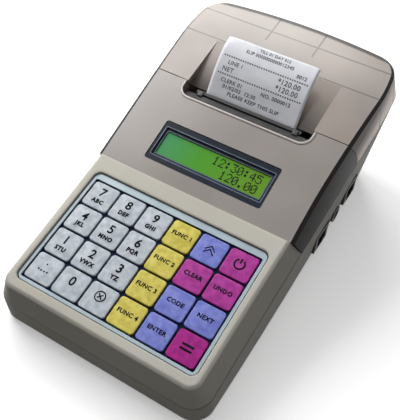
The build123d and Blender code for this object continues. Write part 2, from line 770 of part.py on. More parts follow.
with BuildPart() as display_cover:
    add(smoked.part)
    with BuildSketch(deck.offset(-FAR)):
        add(slot_outline(0))
    extrude(amount=2 * FAR, mode=Mode.SUBTRACT)
    add(slot_rim.part)
    with BuildSketch(profile):
        add(seam_region(SEAM_GAP))
    extrude(amount=REACH, both=True, mode=Mode.INTERSECT)
    with BuildSketch(profile):
        add(split_region(0))
    extrude(amount=REACH, both=True, mode=Mode.SUBTRACT)
    with BuildSketch(display):
        RectangleRounded(
            DISPLAY_WIDTH + 2 * DISPLAY_CLEARANCE,
            display_height + 2 * DISPLAY_CLEARANCE,
            DISPLAY_CORNER,
        )
    extrude(amount=2 * WALL, both=True, mode=Mode.SUBTRACT)
    with BuildSketch(Plane.XY.offset(BOSS_TOP)):
        with Locations(*back_posts):
            RegularPolygon(BACK_POST_RADIUS, POST_SIDES)
    extrude(until=Until.NEXT)
    with BuildSketch(Plane.XY.offset(BOSS_TOP)):
        with Locations(*back_posts):
            Circle(SCREW_RADIUS)
    extrude(amount=SCREW_GRIP, mode=Mode.SUBTRACT)
write(display_cover.part, "display_cover")


def chute_section(drop):
    """Side view of the space over the paper chute's floor, the floor lowered by drop."""
    front = (SPLIT_Y, CHUTE_FRONT_Z - drop)
    back = (CHUTE_BACK + drop, CHUTE_BACK_Z - drop)
    with BuildSketch() as section:
        with BuildLine():
            ThreePointArc(front, (CHUTE_BOW_Y, CHUTE_BOW_Z - drop), back)
            Polyline(back, (back[0], FAR), (front[0] - FAR, FAR), (front[0] - FAR, front[1]), front)
        make_face()
    return section.sketch


# --- Paper lid --------------------------------------------------------------------------------
with BuildPart() as chute:
    with BuildSketch(profile):
        add(chute_section(WALL))
    extrude(amount=CHUTE_HALF_X + CHUTE_WALL, both=True)
    add(outer_roof.part, mode=Mode.INTERSECT)

with BuildPart() as ribs:
    for rib_y in CROSS_RIBS:
        with BuildSketch(profile):
            with Locations((rib_y, 0)):
                Rectangle(RIB_WIDTH, FAR)
        extrude(amount=REACH, both=True)
    with BuildSketch(deck):
        with Locations(*((x, (LONG_RIB_FRONT + LONG_RIB_BACK) / 2) for x in (-LONG_RIB_X, LONG_RIB_X))):
            Rectangle(RIB_WIDTH, LONG_RIB_BACK - LONG_RIB_FRONT)
    extrude(amount=FAR)
    add(inner_roof, mode=Mode.INTERSECT)
    add(inner_form(WALL + RIB_DEPTH), mode=Mode.SUBTRACT)

with BuildPart() as paper_lid:
    add(smoked.part)
    add(ribs.part)
    add(chute.part)
    with BuildSketch(profile):
        add(chute_section(0))
    extrude(amount=CHUTE_HALF_X, both=True, mode=Mode.SUBTRACT)
    with BuildSketch(profile):
        add(split_region(SPLIT_GAP))
    extrude(amount=REACH, both=True, mode=Mode.INTERSECT)
    # lower edge along the crease, raised level behind the hinge
    with BuildSketch(deck.offset(LID_CLEARANCE - CREASE_DROP)):
        Rectangle(2 * REACH, 4 * REACH)
    extrude(amount=-FAR, mode=Mode.SUBTRACT)
    add(block((-REACH, REACH), (LID_REAR_FRONT, REACH), (0, LID_REAR_BOTTOM)), mode=Mode.SUBTRACT)
    for ear_x in (-EAR_X, EAR_X):
        notch_x = (ear_x - EAR_HALF - EAR_CLEARANCE, ear_x + EAR_HALF + EAR_CLEARANCE)
        notch_y = (LID_REAR_FRONT - EAR_NOTCH, REACH)
        add(block(notch_x, notch_y, (0, HINGE_Z + EAR_NOTCH)), mode=Mode.SUBTRACT)
    # hinge barrel, open over the ears
    barrel_inner = EAR_X - EAR_HALF - EAR_CLEARANCE
    barrel_outer = EAR_X + EAR_HALF + EAR_CLEARANCE
    pin_bore = HINGE_PIN_RADIUS + HINGE_PIN_CLEARANCE
    pin_inner = barrel_inner - HINGE_PIN_GRIP
    right_barrel = (barrel_outer, BARREL_HALF_X)
    left_barrel = (-BARREL_HALF_X, -barrel_outer)
    for x_from, x_to in ((-barrel_inner, barrel_inner), right_barrel, left_barrel):
        add(bar(upright, HINGE_Y, HINGE_Z, BARREL_RADIUS, x_from, x_to))
    for x_from, x_to in ((pin_inner, BARREL_HALF_X), (-BARREL_HALF_X, -pin_inner)):
        add(bar(upright, HINGE_Y, HINGE_Z, pin_bore, x_from, x_to), mode=Mode.SUBTRACT)
write(paper_lid.part, "paper_lid")

with BuildPart() as hinge_pins:
    pin_from = pin_inner + EAR_CLEARANCE
    pin_to = BARREL_HALF_X - EAR_CLEARANCE
    add(bar(upright, HINGE_Y, HINGE_Z, HINGE_PIN_RADIUS, pin_from, pin_to))
    add(bar(upright, HINGE_Y, HINGE_Z, HINGE_PIN_RADIUS, -pin_to, -pin_from))
write(hinge_pins.part, "hinge_pins")

# --- Printer ----------------------------------------------------------------------------------
idler_reach = GEAR_MODULE * (PLATEN_TEETH + IDLER_TEETH) / 2
pinion_reach = GEAR_MODULE * (IDLER_TEETH + PINION_TEETH) / 2
idler_y, idler_z = polar(PLATEN_Y, PLATEN_Z, idler_reach, IDLER_DIRECTION)
pinion_y, pinion_z = polar(idler_y, idler_z, pinion_reach, PINION_DIRECTION)
shaft_bore = SHAFT_RADIUS + SHAFT_CLEARANCE

with BuildPart() as printer_frame:
    plate_inner = FRAME_HALF_X - FRAME_PLATE
    for plate_x in (-FRAME_HALF_X, plate_inner):
        with BuildSketch(upright.offset(plate_x)):
            with BuildLine():
                Polyline(
                    to_case(FRAME_FRONT, FRAME_TOP),
                    to_case(FRAME_BACK, FRAME_TOP),
                    (FRAME_LEG_BACK, to_case(FRAME_BACK, FRAME_TOP)[1] - 2 * MOTOR_RADIUS),
                    (FRAME_LEG_BACK, FLOOR),
                    (FRAME_LEG_FRONT, FLOOR),
                    (FRAME_LEG_FRONT, FRAME_CROSS_Z),
                    to_case(FRAME_FRONT, FRAME_TOP - HEAD_HEIGHT),
                    close=True,
                )
            make_face()
        extrude(amount=FRAME_PLATE)
    cross_z = (FRAME_CROSS_Z, FRAME_CROSS_Z + FRAME_PLATE)
    add(block((-FRAME_HALF_X, FRAME_HALF_X), (FRAME_LEG_FRONT, FRAME_LEG_BACK), cross_z))
    add(bar(profile, PLATEN_Y, PLATEN_Z, shaft_bore, -FRAME_HALF_X, FRAME_HALF_X), mode=Mode.SUBTRACT)
    add(bar(profile, pinion_y, pinion_z, shaft_bore, plate_inner, FRAME_HALF_X), mode=Mode.SUBTRACT)
    # stud that the idler turns on
    add(bar(profile, idler_y, idler_z, SHAFT_RADIUS, plate_inner, GEAR_X + GEAR_WIDTH))
write(printer_frame.part, "printer_frame")

with BuildPart() as print_head:
    head_y = PAPER_Y - PAPER_THICKNESS / 2 - HEAD_THICKNESS / 2
    with BuildSketch(profile.offset(-plate_inner)):
        with Locations((head_y, PLATEN_Z)):
            Rectangle(HEAD_THICKNESS, HEAD_HEIGHT)
    extrude(amount=2 * plate_inner)
write(print_head.part, "print_head")

with BuildPart() as platen_roller:
    add(bar(profile, PLATEN_Y, PLATEN_Z, PLATEN_RADIUS, -PLATEN_LENGTH / 2, PLATEN_LENGTH / 2))
    add(bar(profile, PLATEN_Y, PLATEN_Z, SHAFT_RADIUS, -FRAME_HALF_X - FRAME_PLATE, GEAR_X + GEAR_WIDTH))
write(platen_roller.part, "platen_roller")


def involute_roll(base, radius):
    """Roll angle of an involute at a radius, less its pressure angle there."""
    roll = sqrt(max(radius / base, 1) ** 2 - 1)
    return degrees(roll - atan2(roll, 1))


def gear(teeth, y, z, first_tooth, bore):
    """Spur gear about X whose first tooth points at the given angle of the side view."""
    pitch = GEAR_MODULE * teeth / 2
    base = pitch * cos(radians(GEAR_PRESSURE))
    tip = pitch + GEAR_ADDENDUM * GEAR_MODULE
    root = pitch - GEAR_MODULE
    half = degrees((pi * GEAR_MODULE / 4 - GEAR_BACKLASH) / pitch) + involute_roll(base, pitch)
    flank = [(radius, half - involute_roll(base, radius)) for radius in (root, pitch, tip)]
    points = []
    for tooth in range(teeth):
        middle = first_tooth + tooth * 360 / teeth
        points += [polar(y, z, radius, middle - angle) for radius, angle in flank]
        points += [polar(y, z, radius, middle + angle) for radius, angle in reversed(flank)]
    with BuildPart() as wheel:
        with BuildSketch(profile.offset(GEAR_X)):
            with BuildLine():
                Polyline(*points, close=True)
            make_face()
            with Locations((y, z)):
                Circle(bore, mode=Mode.SUBTRACT)
        extrude(amount=GEAR_WIDTH)
    return wheel.part


# each gear has a gap where its neighbour has a tooth on the line between them
idler_first = IDLER_DIRECTION + 180 + 180 / IDLER_TEETH
pinion_phase = (idler_first - PINION_DIRECTION) * IDLER_TEETH / PINION_TEETH
pinion_first = PINION_DIRECTION + 180 + 180 / PINION_TEETH - pinion_phase
write(gear(PLATEN_TEETH, PLATEN_Y, PLATEN_Z, IDLER_DIRECTION, SHAFT_RADIUS), "platen_gear")
write(gear(IDLER_TEETH, idler_y, idler_z, idler_first, shaft_bore), "idler_gear")
write(gear(PINION_TEETH, pinion_y, pinion_z, pinion_first, SHAFT_RADIUS), "motor_pinion")

motor_end = plate_inner - MOTOR_LENGTH
write(bar(profile, pinion_y, pinion_z, MOTOR_RADIUS, motor_end, plate_inner), "print_motor")
write(bar(profile, pinion_y, pinion_z, SHAFT_RADIUS, plate_inner, GEAR_X + GEAR_WIDTH), "motor_shaft")

with BuildPart() as tear_bar:
    tear_y = FRAME_FRONT - TEAR_BAR_THICKNESS
    tooth_count = int(2 * TEAR_BAR_HALF_X / TEAR_TOOTH)
    edge = [(-TEAR_BAR_HALF_X, TEAR_BAR_TOP - TEAR_TOOTH_HEIGHT)]
    for tooth in range(tooth_count):
        left = tooth * TEAR_TOOTH - TEAR_BAR_HALF_X
        edge.append((left + TEAR_TOOTH / 2, TEAR_BAR_TOP))
        edge.append((left + TEAR_TOOTH, TEAR_BAR_TOP - TEAR_TOOTH_HEIGHT))
    low = TEAR_BAR_TOP - TEAR_BAR_HEIGHT
    face = Plane(origin=(0, *to_case(tear_y, 0)), x_dir=(1, 0, 0), z_dir=(0, -TILT_COS, -TILT_SIN))
    with BuildSketch(face):
        with BuildLine():
            Polyline(*edge, (TEAR_BAR_HALF_X, low), (-TEAR_BAR_HALF_X, low), close=True)
        make_face()
    extrude(amount=-TEAR_BAR_THICKNESS)
write(tear_bar.part, "tear_bar")

# --- Paper ------------------------------------------------------------------------------------
spindle_radius = CORE_RADIUS - CORE_WALL - SPINDLE_CLEARANCE
roll_y, roll_z = to_deck(ROLL_Y, ROLL_Z)
trough_radius = ROLL_RADIUS + BUCKET_CLEARANCE

paper_half = PAPER_WIDTH / 2

with BuildPart() as paper_roll:
    add(bar(upright, ROLL_Y, ROLL_Z, ROLL_RADIUS, -paper_half, paper_half))
    add(bar(upright, ROLL_Y, ROLL_Z, CORE_RADIUS, -paper_half, paper_half), mode=Mode.SUBTRACT)
write(paper_roll.part, "paper_roll")

with BuildPart() as roll_core:
    core_bore = CORE_RADIUS - CORE_WALL
    add(bar(upright, ROLL_Y, ROLL_Z, CORE_RADIUS, -paper_half, paper_half))
    add(bar(upright, ROLL_Y, ROLL_Z, core_bore, -paper_half, paper_half), mode=Mode.SUBTRACT)
write(roll_core.part, "roll_core")

with BuildPart() as roll_spindle:
    spindle_half = PLATEN_LENGTH / 2
    spindle_end = BUCKET_HALF_X + BUCKET_WALL + SPINDLE_CLEARANCE
    add(bar(upright, ROLL_Y, ROLL_Z, spindle_radius, -spindle_half, spindle_half))
    add(bar(upright, ROLL_Y, ROLL_Z, SPINDLE_END_RADIUS, -spindle_end, spindle_end))
write(roll_spindle.part, "roll_spindle")

with BuildPart() as paper_bucket:
    bucket_outer = trough_radius + BUCKET_WALL
    for plate_x in (-BUCKET_HALF_X - BUCKET_WALL, BUCKET_HALF_X):
        bucket_y = (ROLL_Y - bucket_outer, ROLL_Y + bucket_outer)
        add(block((plate_x, plate_x + BUCKET_WALL), bucket_y, (FLOOR, BUCKET_TOP)))
    with BuildSketch(upright.offset(-BUCKET_HALF_X)):
        with Locations((ROLL_Y, ROLL_Z)):
            Circle(bucket_outer)
            Circle(trough_radius, mode=Mode.SUBTRACT)
        with Locations((ROLL_Y, BUCKET_TOP + bucket_outer)):
            Rectangle(2 * bucket_outer, 2 * bucket_outer, mode=Mode.SUBTRACT)
    extrude(amount=2 * BUCKET_HALF_X)
    # notches that the spindle drops into
    notch = SPINDLE_END_RADIUS + SPINDLE_CLEARANCE
    add(bar(upright, ROLL_Y, ROLL_Z, notch, -spindle_end, spindle_end), mode=Mode.SUBTRACT)
    notch_y = (ROLL_Y - notch, ROLL_Y + notch)
    add(block((-spindle_end, spindle_end), notch_y, (ROLL_Z, BUCKET_TOP)), mode=Mode.SUBTRACT)
write(paper_bucket.part, "paper_bucket")

# the paper leaves the roll at the top, passes under the platen and turns up in front of it
reach_roll = ROLL_RADIUS + PAPER_CLEARANCE + PAPER_THICKNESS / 2
reach_platen = PLATEN_RADIUS + PAPER_CLEARANCE + PAPER_THICKNESS / 2
apart = hypot(roll_y - PLATEN_Y, roll_z - PLATEN_Z)
towards = degrees(atan2(PLATEN_Z - roll_z, PLATEN_Y - roll_y))
reach_both = reach_roll + reach_platen
leave = towards - degrees(atan2(sqrt(apart**2 - reach_both**2), reach_both))
on_roll = polar(roll_y, roll_z, reach_roll, leave)
under_platen = polar(PLATEN_Y, PLATEN_Z, reach_platen, leave + 180)
wrap_middle = polar(PLATEN_Y, PLATEN_Z, reach_platen, (leave + 360) / 2)

with BuildPart() as paper_web:
    with BuildSketch(profile):
        with BuildLine():
            Line(on_roll, under_platen)
            ThreePointArc(under_platen, wrap_middle, (PAPER_Y, PLATEN_Z))
            Line((PAPER_Y, PLATEN_Z), (PAPER_Y, PAPER_EDGE_Z))
        trace(line_width=PAPER_THICKNESS)
    extrude(amount=paper_half, both=True)
write(paper_web.part, "paper_web")

with BuildPart() as receipt:
    with BuildSketch(profile):
        with BuildLine():
            points = [(PAPER_Y, PAPER_EDGE_Z), *RECEIPT_CURVE]
            stretch = TangentArc(*points[:2], tangent=(0, 1))
            for begin, end in zip(points[1:], points[2:]):
                stretch = TangentArc(begin, end, tangent=stretch % 1)
        trace(line_width=PAPER_THICKNESS)
    extrude(amount=paper_half, both=True)
write(receipt.part, "receipt")

# --- Electronics ------------------------------------------------------------------------------
with BuildPart() as main_board:
    board_z = (MAIN_BOARD_TOP - BOARD_THICKNESS, MAIN_BOARD_TOP)
    add(block((-MAIN_BOARD_HALF_X, MAIN_BOARD_HALF_X), (MAIN_BOARD_FRONT, MAIN_BOARD_BACK), board_z))
    add(block((BOARD_TAB_X, MAIN_BOARD_HALF_X), (MAIN_BOARD_BACK, BOARD_TAB_BACK), board_z))
write(main_board.part, "main_board")


def socket(name, y):
    """Modular socket that stands on the board and looks out of the right wall."""
    face_x = wall_x(y, SOCKET_Z) + SOCKET_PROUD
    with BuildPart() as body:
        with BuildSketch(Plane.YZ.offset(face_x - SOCKET_DEPTH)):
            with Locations((y, SOCKET_Z)):
                Rectangle(SOCKET_LENGTH, SOCKET_HEIGHT)
        extrude(amount=SOCKET_DEPTH)
        with BuildSketch(Plane.YZ.offset(face_x - MOUTH_DEPTH)):
            with Locations((y, SOCKET_Z)):
                Rectangle(MOUTH_LENGTH, MOUTH_HEIGHT)
            with Locations((y, SOCKET_Z - (MOUTH_HEIGHT + LATCH_HEIGHT) / 2)):
                Rectangle(LATCH_LENGTH, LATCH_HEIGHT)
        extrude(amount=MOUTH_DEPTH, mode=Mode.SUBTRACT)
    write(body.part, name)


for socket_name, socket_y in SOCKET_Y.items():
    socket(socket_name, socket_y)

with BuildPart() as dc_jack:
    jack_face = wall_x(JACK_Y, JACK_Z) + SOCKET_PROUD
    add(bar(upright, JACK_Y, JACK_Z, JACK_RADIUS, jack_face - JACK_LENGTH, jack_face))
    add(bar(upright, JACK_Y, JACK_Z, JACK_BORE, jack_face - JACK_DEPTH, jack_face), mode=Mode.SUBTRACT)
    add(bar(upright, JACK_Y, JACK_Z, JACK_PIN, jack_face - JACK_DEPTH, jack_face - SOCKET_PROUD))
write(dc_jack.part, "dc_jack")

cell_half = CELL_COUNT * CELL_RADIUS
pack_bottom = FLOOR + HOLDER_WALL + CELL_CLEARANCE
pack_middle = pack_bottom + CELL_RADIUS

# shrink-wrapped pack of cells lying side by side
with BuildPart() as battery_pack:
    with BuildSketch(Plane.XZ.offset(-HOLDER_Y - CELL_LENGTH / 2)):
        with Locations((0, pack_middle)):
            Rectangle(2 * cell_half, 2 * CELL_RADIUS)
    extrude(amount=CELL_LENGTH)
    fillet(battery_pack.edges().filter_by(Axis.Y), CELL_RADIUS - CELL_CLEARANCE)
write(battery_pack.part, "battery_pack")

with BuildPart() as battery_holder:
    tray_x, tray_y = cell_half + CELL_CLEARANCE, CELL_LENGTH / 2 + CELL_CLEARANCE
    outer_x, outer_y = tray_x + HOLDER_WALL, tray_y + HOLDER_WALL
    add(block((-outer_x, outer_x), (HOLDER_Y - outer_y, HOLDER_Y + outer_y), (FLOOR, pack_middle)))
    pocket_y = (HOLDER_Y - tray_y, HOLDER_Y + tray_y)
    pocket_z = (FLOOR + HOLDER_WALL, pack_middle)
    add(block((-tray_x, tray_x), pocket_y, pocket_z), mode=Mode.SUBTRACT)
write(battery_holder.part, "battery_holder")
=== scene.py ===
"""Ticket register: the looks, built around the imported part.

Lengths are in millimetres, and the frame functions turn them to metres in the part's own frame. What lies on
the sloping keypad is drawn in the deck frame: x to the right, y up the slope, z out of the plane of the keys.
"""

from math import cos, pi, radians, sin

import bpy
import numpy as np
from mathutils import Matrix
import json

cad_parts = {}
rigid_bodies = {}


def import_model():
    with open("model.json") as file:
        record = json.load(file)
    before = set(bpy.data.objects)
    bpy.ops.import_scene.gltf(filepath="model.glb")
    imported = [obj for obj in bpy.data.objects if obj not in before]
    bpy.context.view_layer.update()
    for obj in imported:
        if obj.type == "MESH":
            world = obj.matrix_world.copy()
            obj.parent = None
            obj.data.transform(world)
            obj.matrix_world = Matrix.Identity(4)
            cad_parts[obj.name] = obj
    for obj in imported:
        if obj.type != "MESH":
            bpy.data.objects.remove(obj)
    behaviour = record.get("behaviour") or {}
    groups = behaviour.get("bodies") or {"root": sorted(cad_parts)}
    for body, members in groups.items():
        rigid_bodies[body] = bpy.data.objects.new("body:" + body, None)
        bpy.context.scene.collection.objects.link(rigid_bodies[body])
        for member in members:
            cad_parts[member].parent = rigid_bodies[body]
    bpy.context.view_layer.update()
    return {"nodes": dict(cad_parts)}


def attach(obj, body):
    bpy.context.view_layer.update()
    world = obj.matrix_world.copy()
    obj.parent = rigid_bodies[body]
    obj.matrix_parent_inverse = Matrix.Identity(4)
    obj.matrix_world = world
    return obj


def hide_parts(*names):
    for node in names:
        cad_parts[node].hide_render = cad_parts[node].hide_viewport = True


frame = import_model()

# --- Sizes, as in the part's source -------------------------------------------------------------
MM = 0.001
DECK_TILT = radians(13.9)
DECK_Y, DECK_Z = -69.4, 37.6
# the deck's middle in the part's frame turned back by the slope
DECK_ORIGIN_Y = DECK_Y * cos(DECK_TILT) + DECK_Z * sin(DECK_TILT)
DECK_ORIGIN_Z = DECK_Z * cos(DECK_TILT) - DECK_Y * sin(DECK_TILT)
PITCH_X, PITCH_Y = 16.8, 16.31
KEY_GAP, KEY_CORNER, KEY_FLANGE = 1.6, 1.5, 0.45
KEY_BOTTOM, WEB_BOTTOM = -3.4, -2.25
KEY_ROWS = [
    ["key_7", "key_8", "key_9", "key_yellow_1", "key_feed", "key_power"],
    ["key_4", "key_5", "key_6", "key_yellow_2", "key_magenta_1", "key_magenta_2"],
    ["key_1", "key_2", "key_3", "key_yellow_3", "key_blue_1", "key_blue_2"],
    ["key_point", "key_0", "key_cancel", "key_yellow_4", "key_blue_3", "key_total"],
]
ROOF_CROWN_Y, ROOF_CROWN_Z, ROOF_RADIUS = 148.0, 10.1, 567.0
DISPLAY_MIDDLE, DISPLAY_FLOOR = 69.15, -2.6
CROSS_RIBS, LONG_RIB_X, LONG_RIB_FRONT = (145.0, 165.0), 15.0, 157.0
# the lid's rear edge bows by REAR_BOW over REAR_HALF to each side, and SEAM_Y is where lid and cover meet
REAR_EDGE, REAR_BOW, REAR_HALF = 179.2, 4.0, 57.0
SEAM_Y = 110.0
SLOT_HALF_X, SLOT_FRONT, SLOT_CORNER, BEAD = 40.0, 100.3, 6.0, 0.4
RECEIPT_LINE = [(109.85, -0.8), (111.6, 3.4), (117.2, 9.2), (128.2, 18.2), (139.4, 22.9)]
RECEIPT_WIDTH = 57.0
ROLL_AXIS = (78.8, 45.5)

# --- Sizes of what the scene adds ---------------------------------------------------------------
# a key's head: its rounded edge and the height of that edge, the rise of its pillow, and how far it spreads
# over the web, between two heights that its travel doesn't use up
KEY_ROUND, KEY_EDGE_Z, KEY_PILLOW = 0.5, 0.9, 0.32
KEY_SPREAD, SPREAD_FROM, SPREAD_TO = 0.25, 0.15, 0.3
# rings over the pillow, each as a share of the edge's size
PILLOW_RINGS = (0.95, 0.85, 0.7, 0.55, 0.4, 0.25, 0.1)
# smoked shells: where the chute ends and the outside begins, and where the brim along the rear edge and the
# stern behind it come in
CHUTE_HALF, SHELL_HALF = 44.0, 48.0
BRIM_FROM, BRIM_TO, STERN_TO = REAR_EDGE - 4.0, REAR_EDGE - 2.6, REAR_EDGE - 2.5
# heights between which the sides' painted shading changes, and how far back the painted shade by the seam
# reaches
SIDE_FOOT, SIDE_HEAD, SEAM_SHADE_END = -12.0, 8.0, 165.0
# heights over which the painted shade in the chute fades, and the half width of a rib's line where it is
# whole and gone
CHUTE_DARK, CHUTE_CLEAR, RIB_WHOLE, RIB_GONE = 2.5, 9.0, 0.2, 0.7
# film round the keys, half sizes, corner radius and y of the middle: at the well's wall and round the keys
WELL_EDGE, FIELD_EDGE = (52.35, 35.65, 3.4, 1.0), (50.75, 33.0, 0.9, 0.0)
FILM_TOP, FILM_WALL = 1.0, 0.7
# ink stands over what carries it: over flat parts, over the facets of a key's pillow, and over the middle of
# the receipt's wall
PRINT_LIFT, KEY_INK_LIFT, RECEIPT_INK_LIFT = 0.03, 0.1, 0.13
# display: characters, and the painted highlights on the frame's steps with half sizes, height and width
CHARACTER_PITCH, LINE_PITCH, DOT_PITCH_X, DOT_PITCH_Y, DOT_HALF = 3.75, 6.3, 0.66, 0.76, 0.36
TEXT_RIGHT, TEXT_TOP = 33.0, 5.4
FRAME_CORNER = 0.8
FRAME_HIGHLIGHTS = {
    "display_highlight_outer": (33.95, 9.3, -0.58, 0.5),
    "display_highlight_inner": (32.5, 7.5, -1.78, 0.35),
}
# receipt: wall, and the curl of its far left corner, its reach and its bend in mm per mm squared
RECEIPT_WALL, CURL_REACH, CURL_BEND = 0.16, 9.0, 0.012
# painted highlight on the slot's bead: distance from the corner's centre, width, and where it ends
SLOT_REACH, SLOT_LINE_WIDTH, SLOT_LINE_END = SLOT_CORNER + 0.5, 0.45, 109.0
# paper slot, side views in y and z: the folded ledge behind the cover's edge and the blade at its end
LEDGE_LINE = [(102.0, 3.0), (102.2, 4.9), (102.7, 5.2), (106.3, 3.9), (106.9, 3.3), (107.0, -2.0)]
BLADE_LINE = [
    (107.3, -1.5), (107.3, 3.6), (107.7, 4.7), (109.4, 5.2), (109.6, 4.9), (108.2, 3.9), (108.2, -1.5),
]
LEDGE_HALF_X, BLADE_HALF_X, LEDGE_WALL = 38.4, 33.0, 0.5
# clips over the blade's ends: place, half sizes and corner radius, and how their skin draws in over the top
CLIP_X, CLIP_Y = 30.0, 107.3
CLIP_HALF_X, CLIP_HALF_Y, CLIP_CORNER = 1.7, 1.9, 0.6
CLIP_RINGS = [(0.0, -1.0), (0.0, 5.0), (0.15, 5.4), (0.5, 5.6)]
FLOOR_HALF = 6000.0


# --- Frames -------------------------------------------------------------------------------------
def deck(points):
    """Deck frame to the part's frame: turned by the slope about X, then moved to the key field's centre."""
    x, y, z = np.moveaxis(np.asarray(points, float), -1, 0)
    return MM * np.stack([
        x,
        DECK_Y + y * cos(DECK_TILT) - z * sin(DECK_TILT),
        DECK_Z + y * sin(DECK_TILT) + z * cos(DECK_TILT),
    ], -1)


def roof_z(y):
    """Height of the roof over the deck plane: an arc of radius R about a centre R under its crown."""
    return ROOF_CROWN_Z - ROOF_RADIUS + np.sqrt(ROOF_RADIUS**2 - (y - ROOF_CROWN_Y) ** 2)


def display(points):
    """Display frame to the part's frame: the plane that touches the roof arc over the display's middle,
    so (u, v, w) goes to the deck's (u, y0 + v cos a - w sin a, z0 + v sin a + w cos a)."""
    u, v, w = np.moveaxis(np.asarray(points, float), -1, 0)
    lean = np.arctan2(ROOF_CROWN_Y - DISPLAY_MIDDLE, ROOF_RADIUS)
    return deck(np.stack([
        u,
        DISPLAY_MIDDLE + v * cos(lean) - w * sin(lean),
        roof_z(DISPLAY_MIDDLE) + v * sin(lean) + w * cos(lean),
    ], -1))


# --- Materials ----------------------------------------------------------------------------------
def linear(hex_colour):
    """Linear colour of an sRGB hex value: c/12.92 below 0.04045, else ((c+0.055)/1.055)^2.4."""
    channels = [int(hex_colour[i:i + 2], 16) / 255 for i in (1, 3, 5)]
    return (*[c / 12.92 if c <= 0.04045 else ((c + 0.055) / 1.055) ** 2.4 for c in channels], 1.0)


def add(tree, kind, inputs=None, stops=(), **settings):
    """Adds a node with its settings. Each input is a plain value, or a socket that is linked to it; stops
    are a colour ramp's places and hex colours."""
    made = tree.nodes.new(kind)
    for name, value in settings.items():
        setattr(made, name, value)
    for name, value in (inputs or {}).items():
        if isinstance(value, bpy.types.NodeSocket):
            tree.links.new(value, made.inputs[name])
        else:
            made.inputs[name].default_value = value
    for place, colour in stops[2:]:
        made.color_ramp.elements.new(place)
    for element, (place, colour) in zip(made.color_ramp.elements if stops else (), stops):
        element.position, element.color = place, linear(colour)
    return made


def blank(name):
    """An empty node material, with its tree and the object's own coordinates."""
    material = bpy.data.materials.new(name)
    material.use_nodes = True
    tree = material.node_tree
    tree.nodes.clear()
    return material, tree, add(tree, "ShaderNodeTexCoord")


def plain(name, low, high, drift_mm, grit_mm, depth_mm, rough, edge_mm=0.3, shine=0.5, **extra):
    """Finish of one stuff: its colour drifts between two tones over drift_mm, and grit of grit_mm makes it
    rougher and smoother by 0.05 and raises it by depth_mm. Edges catch the light as if rounded by edge_mm,
    and shine is how much its face mirrors, 0.5 for a clean gloss."""
    material, tree, place = blank(name)
    drift = add(tree, "ShaderNodeTexNoise", {
        "Vector": place.outputs["Object"], "Scale": 1 / (drift_mm * MM), "Detail": 3.0,
    })
    grit = add(tree, "ShaderNodeTexNoise", {
        "Vector": place.outputs["Object"], "Scale": 1 / (grit_mm * MM), "Detail": 2.0,
    })
    tone = add(tree, "ShaderNodeValToRGB", {"Fac": drift.outputs["Fac"]}, [(0.35, low), (0.65, high)])
    matt = add(tree, "ShaderNodeMapRange", {
        "Value": grit.outputs["Fac"], "From Min": 0.3, "From Max": 0.7, "To Min": rough - 0.05,
        "To Max": rough + 0.05,
    })
    soft = add(tree, "ShaderNodeBevel", {"Radius": edge_mm * MM}, samples=4)
    raised = add(tree, "ShaderNodeBump", {
        "Height": grit.outputs["Fac"], "Distance": depth_mm * MM, "Normal": soft.outputs["Normal"],
    })
    shader = add(tree, "ShaderNodeBsdfPrincipled", {
        "Base Color": tone.outputs["Color"], "Roughness": matt.outputs["Result"],
        "Normal": raised.outputs["Normal"], "Specular IOR Level": shine, **extra,
    })
    add(tree, "ShaderNodeOutputMaterial", {"Surface": shader.outputs[0]})
    return material


# Each finish below: name, two tones, then drift, grit and its depth in millimetres, and roughness.
# ABS from a spark-eroded mould: dull, pitted at 0.7 mm, and yellowed a little unevenly with age
housing_abs = plain(
    "housing_abs_spark_eroded", "#C0BCB1", "#C9C6BC", 60, 0.7, 0.035, 0.5, edge_mm=1.8, shine=0.03, IOR=1.53)
# polyester overlay, printed on its back: satin, nearly smooth
navy_print = plain("overlay_navy_print", "#0E1A33", "#152340", 8, 0.6, 0.006, 0.45, shine=0.06)
pale_print = plain("overlay_pale_print", "#98AAB5", "#A8B9C2", 14, 0.6, 0.006, 0.4, IOR=1.57)
# the same film, drawn over the keys: each family's two tones are its lit and its shaded colour, mottled at
# random over 3.5 mm as painted shading
KEY_LIT_AND_SHADED_TONES = {
    "grey": ("#ADB5BD", "#CAD1D8"),
    "yellow": ("#C7B94D", "#E0D36A"),
    "blue": ("#6C75C6", "#8790DA"),
    "magenta": ("#A02C89", "#B8409F"),
    "total": ("#981778", "#B2268F"),
}
key_film = {
    family: plain(f"overlay_{family}_print", low, high, 3.5, 0.5, 0.006, 0.36, shine=0.16)
    for family, (low, high) in KEY_LIT_AND_SHADED_TONES.items()
}
# screen ink: nearly black, dull
ink = plain("overlay_legend_ink", "#07080E", "#0D0F16", 4, 0.4, 0.002, 0.5, shine=0.05)
# glass-filled nylon of sockets and spindle: black, satin
nylon = plain("socket_nylon_black", "#0D0D0F", "#161619", 10, 0.5, 0.02, 0.42)
# ABS of the printer's carrier, never meant to be seen: dark, plain
carrier_abs = plain("carrier_abs_dark", "#1E1F22", "#28292D", 20, 0.8, 0.03, 0.5)
# synthetic rubber of feet, platen and key mat: very matt
rubber = plain("synthetic_rubber", "#18181A", "#232325", 10, 0.4, 0.03, 0.78)
# acetal of the gears: milky and slippery
acetal = plain("gear_acetal_natural", "#D9D7CE", "#E3E1D9", 10, 0.8, 0.01, 0.38)
# fine-faced ABS of the display's frame: dark navy, nearly smooth
frame_abs = plain("display_frame_abs", "#0B1422", "#131E2E", 10, 0.5, 0.008, 0.3, shine=0.15)
# painted highlight: the same ABS along the edges of the frame's steps, painted pale where they would catch
# the light
painted_frame_highlight = plain("display_frame_painted_highlight", "#47566B", "#566680", 10, 0.5, 0.008, 0.3)
# glass epoxy under green solder mask: even and fairly glossy
epoxy = plain("board_epoxy_green", "#1B5233", "#27663F", 12, 1.5, 0.02, 0.32)
# spiral-wound grey board of the paper core: brown, very matt
cardboard = plain("core_cardboard", "#9A8464", "#B09A7A", 6, 0.9, 0.05, 0.85)
